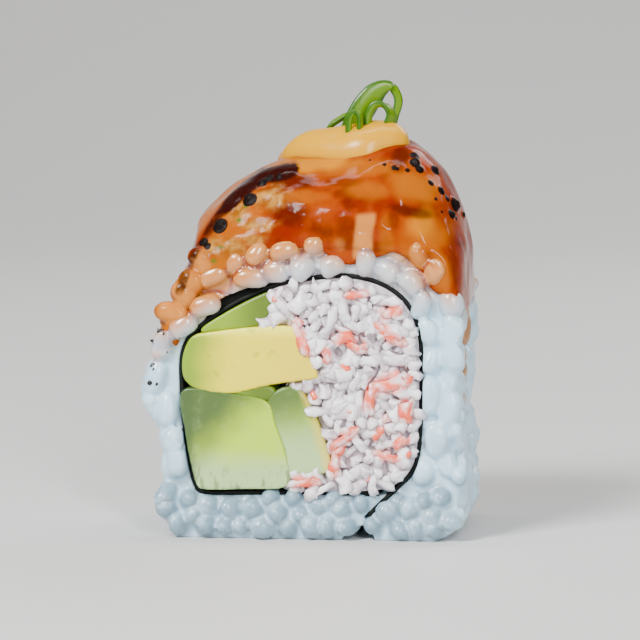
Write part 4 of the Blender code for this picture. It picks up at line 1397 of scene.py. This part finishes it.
def add_topping():
    """The seared slab with its char blisters, and the glaze that runs down over the rice."""
    core = rice_core(0.9)
    draw = random.Random(SEED)
    spots = face_grains(draw)
    edge_over = [s for s in spots if s[0].x < 16.5 and is_coated(s)]
    shapes = grain_shapes()
    under, back = topping_curves(core, DOME_ACROSS)
    topping = topping_dome("seared_topping_look", under, back)
    edge_over += flank_grains(draw, under, back)
    grid = topping_grid(under, back, DOME_ALONG // 2)
    for x, z, tilt in SHOULDER_GRAINS:
        grain = grain_size(draw, 0.95)
        turn = facing_turn((0.0, -1.0, 0.0), math.radians(tilt))
        sunk = Vector((0.0, grain[1] / 2 - 0.45, 0.0))
        edge_over.append((front_place(x, z, grid) + sunk, turn, grain, 0, True))
    blisters = [(front_place(x, z, grid), radius) for x, z, radius in BLISTERS]

    def fill_blisters(shape):
        for place, radius in blisters:
            sunk = place + Vector((0.0, 0.35 * radius, -0.25 * radius))
            spot = Matrix.Translation(sunk * MM) @ Matrix.Scale(MM, 4)
            stretch = Matrix.Diagonal((0.95, 0.85, 1.25, 1.0))
            ball = bmesh.ops.create_icosphere(shape, subdivisions=3, radius=radius, matrix=spot @ stretch)
            for vert in ball["verts"]:
                out = vert.co - sunk * MM
                vert.co += out * 0.45 * noise.noise(vert.co / MM * 1.6)

    bumps = new_object("blisters", fill_blisters)
    grown = [
        (place, turn, (wide + 0.25, thick + 0.25, long * (0.75 if place.x > -6 else 1.05)), kind)
        for place, turn, (wide, thick, long), kind, _ in edge_over
    ]
    coated = scatter("coated_grains", shapes, grown, None)
    absorb(topping, bumps, coated, glaze_film(-1), glaze_film(1))
    fuse(topping, size("glaze_voxel"), 2)
    set_material(topping, topping_material())
    store_topping_fields(topping, grain_tree(edge_over), blisters)
    enter(topping, "seared", "seared_topping")
    discard(*shapes)


def height_over(thing, x, y):
    """How high an object's surface is over a place, in millimetres."""
    hit, place, _, _ = thing.ray_cast(Vector((x, y, 100.0)) * MM, Vector((0.0, 0.0, -1.0)))
    if not hit:
        raise RuntimeError(f"nothing under {x}, {y}")
    return place.z / MM


def add_mayo():
    """The dollop of sauce on the top."""
    topping = bpy.data.objects["seared_topping_look"]
    bpy.context.view_layer.update()
    rings, segments = 26, 96
    edge = 0.35

    def fill(shape):
        tops, bases = [], []
        for ring in range(rings + 1):
            share = ring / rings
            tops.append([])
            bases.append([])
            for s in range(segments if ring else 1):
                angle = math.tau * s / segments
                wave = 1 + 0.06 * math.sin(3 * angle + 0.6) + 0.04 * math.sin(5 * angle)
                along = MAYO_HALF[0] * wave * share * math.cos(angle)
                aside = MAYO_HALF[1] * wave * share * math.sin(angle) * (1 + 0.2 * math.cos(angle))
                x = MAYO_CENTRE[0] + along * math.cos(MAYO_TURN) - aside * math.sin(MAYO_TURN)
                y = MAYO_CENTRE[1] + along * math.sin(MAYO_TURN) + aside * math.cos(MAYO_TURN)
                lean = 1 + 0.08 * math.cos(angle) * share
                base = height_over(topping, x, y)
                swell = (size("mayo_thickness") - edge) * max(0.0, 1 - share**2.6) ** 0.5 * lean
                ripple = 0.16 * noise.noise(Vector((x / 3.5, y / 3.5, 1.0))) * (1 - share**4)
                top = base + edge + swell + ripple
                tops[-1].append(shape.verts.new((x * MM, y * MM, top * MM)))
                bases[-1].append(shape.verts.new((x * MM, y * MM, (base - 0.6) * MM)))
        for middle, *rows in (tops, bases):
            skin(shape, rows, True)
            for s in range(segments):
                shape.faces.new((middle[0], rows[0][s], rows[0][(s + 1) % segments]))
        skin(shape, [tops[-1], bases[-1]], True)

    mayo = new_object("spicy_mayo_look", fill)
    fuse(mayo, MAYO_VOXEL, 6)
    set_material(mayo, mayo_material())
    enter(mayo, "mayo", "spicy_mayo")


def add_scallion():
    """Curled shreds of scallion that stand in the sauce."""
    material = scallion_material()
    section = [(0.5 * math.cos(a), 0.5 * math.sin(a)) for a in (math.tau * k / 14 for k in range(14))]
    for name, shred in SCALLION.items():
        line = smooth_path([p[:3] for p in shred["path"]], 12)
        widths = np.interp(range(len(line)), range(0, len(line), 12), [p[3] for p in shred["path"]])
        edges = []

        def fill(shape, shred=shred, line=line, edges=edges, widths=widths):
            rims = []
            for i, p in enumerate(line):
                along = (line[min(i + 1, len(line) - 1)] - line[max(i - 1, 0)]).normalized()
                across = Vector(shred["facing"])
                across = (across - along * across.dot(along)).normalized()
                out = along.cross(across)
                rim = []
                for a, b in section:
                    flat = math.copysign(abs(2 * a) ** 0.7, a) / 2
                    cup = 0.25 * (4 * flat * flat - 0.5)
                    spot = p + across * flat * widths[i] + out * (b + cup) * size("scallion_thickness")
                    rim.append(shape.verts.new(spot * MM))
                    edges.append(abs(2 * flat))
                rims.append(rim)
            skin(shape, rims, True)
            shape.faces.new(rims[0])
            shape.faces.new(rims[-1])

        piece = new_object(name + "_look", fill, material)
        store(piece, "edge", edges)
        enter(piece, "scallion", name)


def add_specks():
    """Char specks on the rice at the upper left."""
    draw = random.Random(SEED + 5)
    shapes = flake_shapes()
    char = plain_material("char_specks", colour("char"), 0.4, 0.3)
    rice = bpy.data.objects["rice_look"]
    bpy.context.view_layer.update()

    def spot(x, y, z, wide):
        turn = Euler((draw.uniform(0, 3), draw.uniform(0, 3), draw.uniform(0, 3)))
        _, place, _, _ = rice.closest_point_on_mesh(Vector((x, y, z)) * MM)
        return (place / MM, turn, (wide, wide * 0.6, wide * 1.3), draw.randrange(4))

    specks = scatter("char_specks", shapes, [spot(*s) for s in SPECKS], char)
    enter(specks, "seared")
    discard(*shapes)


def area_light(name, place, target, power, wide, high):
    """A soft white light turned to its target, in metres and watts."""
    lamp = bpy.data.lights.new(name, "AREA")
    lamp.shape = "RECTANGLE"
    lamp.size, lamp.size_y = wide, high
    lamp.energy = power
    thing = bpy.data.objects.new(name, lamp)
    thing.location = place
    thing.rotation_euler = (Vector(place) - Vector(target)).to_track_quat("Z", "Y").to_euler()
    bpy.context.scene.collection.objects.link(thing)


def add_stage():
    """Floor, soft lights and the camera."""
    profile = [(-3.0, 0.0), (0.5, 0.0)]
    for step in range(1, 13):
        turn = math.pi / 2 * step / 12
        profile.append((0.5 + 0.6 * math.sin(turn), 0.6 - 0.6 * math.cos(turn)))
    profile.append((1.1, 2.0))

    def fill(shape):
        rows = [[shape.verts.new((x, y, z)) for x in (-3.0, 3.0)] for y, z in profile]
        skin(shape, rows, False)

    floor = new_object("floor", fill, plain_material("floor", colour("floor"), 0.6))
    world = bpy.data.worlds.new("studio")
    world.use_nodes = True
    air = world.node_tree.nodes["Background"].inputs
    air["Color"].default_value = colour("floor")
    air["Strength"].default_value = 0.08
    bpy.context.scene.world = world
    aim = (0.0, 0.0, 0.03)
    area_light("key", (-0.26, -0.42, 0.44), aim, 8.0, 0.2, 0.2)
    area_light("strip", (0.2, -0.5, 0.24), aim, 3.0, 0.05, 0.3)
    area_light("back", (0.3, 0.4, 0.4), aim, 1.8, 0.4, 0.25)
    area_light("wall", (0.0, 0.1, 0.9), (0.0, 1.1, 0.35), 9.0, 0.8, 0.3)
    lens = bpy.data.cameras.new("camera")
    camera = bpy.data.objects.new("camera", lens)
    bpy.context.scene.collection.objects.link(camera)
    azimuth, elevation, distance = math.radians(6.5), math.radians(5.5), 0.45
    target = Vector((0.0018, -0.013, 0.0291))
    level = math.cos(elevation)
    back = Vector((math.sin(azimuth) * level, -math.cos(azimuth) * level, math.sin(elevation)))
    camera.location = target + back * distance
    camera.rotation_euler = back.to_track_quat("Z", "Y").to_euler()
    lens.sensor_width = 36.0
    lens.lens = lens.sensor_width * distance / PICTURE_WIDTH
    lens.clip_start, lens.clip_end = 0.01, 20.0
    bpy.context.scene.camera = camera


# The add-on


def operator(key, label, words, step):
    """An operator that builds one piece, or a group of like pieces."""

    def execute(self, context):
        step()
        return {"FINISHED"}

    name = "ROLL_OT_" + key
    return type(name, (bpy.types.Operator,), {
        "bl_idname": "roll." + key, "bl_label": label, "__doc__": words, "execute": execute,
    })


OPERATORS = [
    operator("add_rice", "Add Rice", "Builds the packed rice and its grains", add_rice),
    operator("add_nori", "Add Nori", "Builds the seaweed sheet", add_nori),
    operator("add_cucumber", "Add Cucumber", "Builds both sticks of cucumber", add_cucumber),
    operator("add_avocado", "Add Avocado", "Builds the slices of avocado", add_avocado),
    operator("add_crab", "Add Crab", "Builds the torn crab", add_crab),
    operator("add_topping", "Add Topping", "Builds the seared and glazed topping", add_topping),
    operator("add_mayo", "Add Mayo", "Builds the dollop of sauce", add_mayo),
    operator("add_scallion", "Add Scallion", "Builds the curled shreds", add_scallion),
    operator("add_specks", "Add Specks", "Builds the char specks", add_specks),
    operator("add_stage", "Add Stage", "Builds the floor, lights and camera", add_stage),
]


class ROLL_PT_panel(bpy.types.Panel):
    """Lists the roll's operators in the sidebar."""

    bl_idname = "ROLL_PT_panel"
    bl_label = "Uramaki Slice"
    bl_space_type = "VIEW_3D"
    bl_region_type = "UI"
    bl_category = "Uramaki"

    def draw(self, context):
        for entry in OPERATORS:
            self.layout.operator(entry.bl_idname)


CLASSES = [RollSizes, RollColours, *OPERATORS, ROLL_PT_panel]


def register():
    for entry in CLASSES:
        bpy.utils.register_class(entry)
    bpy.types.Scene.roll_sizes = bpy.props.PointerProperty(type=RollSizes)
    bpy.types.Scene.roll_colours = bpy.props.PointerProperty(type=RollColours)


def unregister():
    del bpy.types.Scene.roll_colours
    del bpy.types.Scene.roll_sizes
    for entry in reversed(CLASSES):
        bpy.utils.unregister_class(entry)


def main():
    register()
    for entry in OPERATORS:
        group, key = entry.bl_idname.split(".")
        getattr(getattr(bpy.ops, group), key)()


if __name__ == "__main__":
    main()
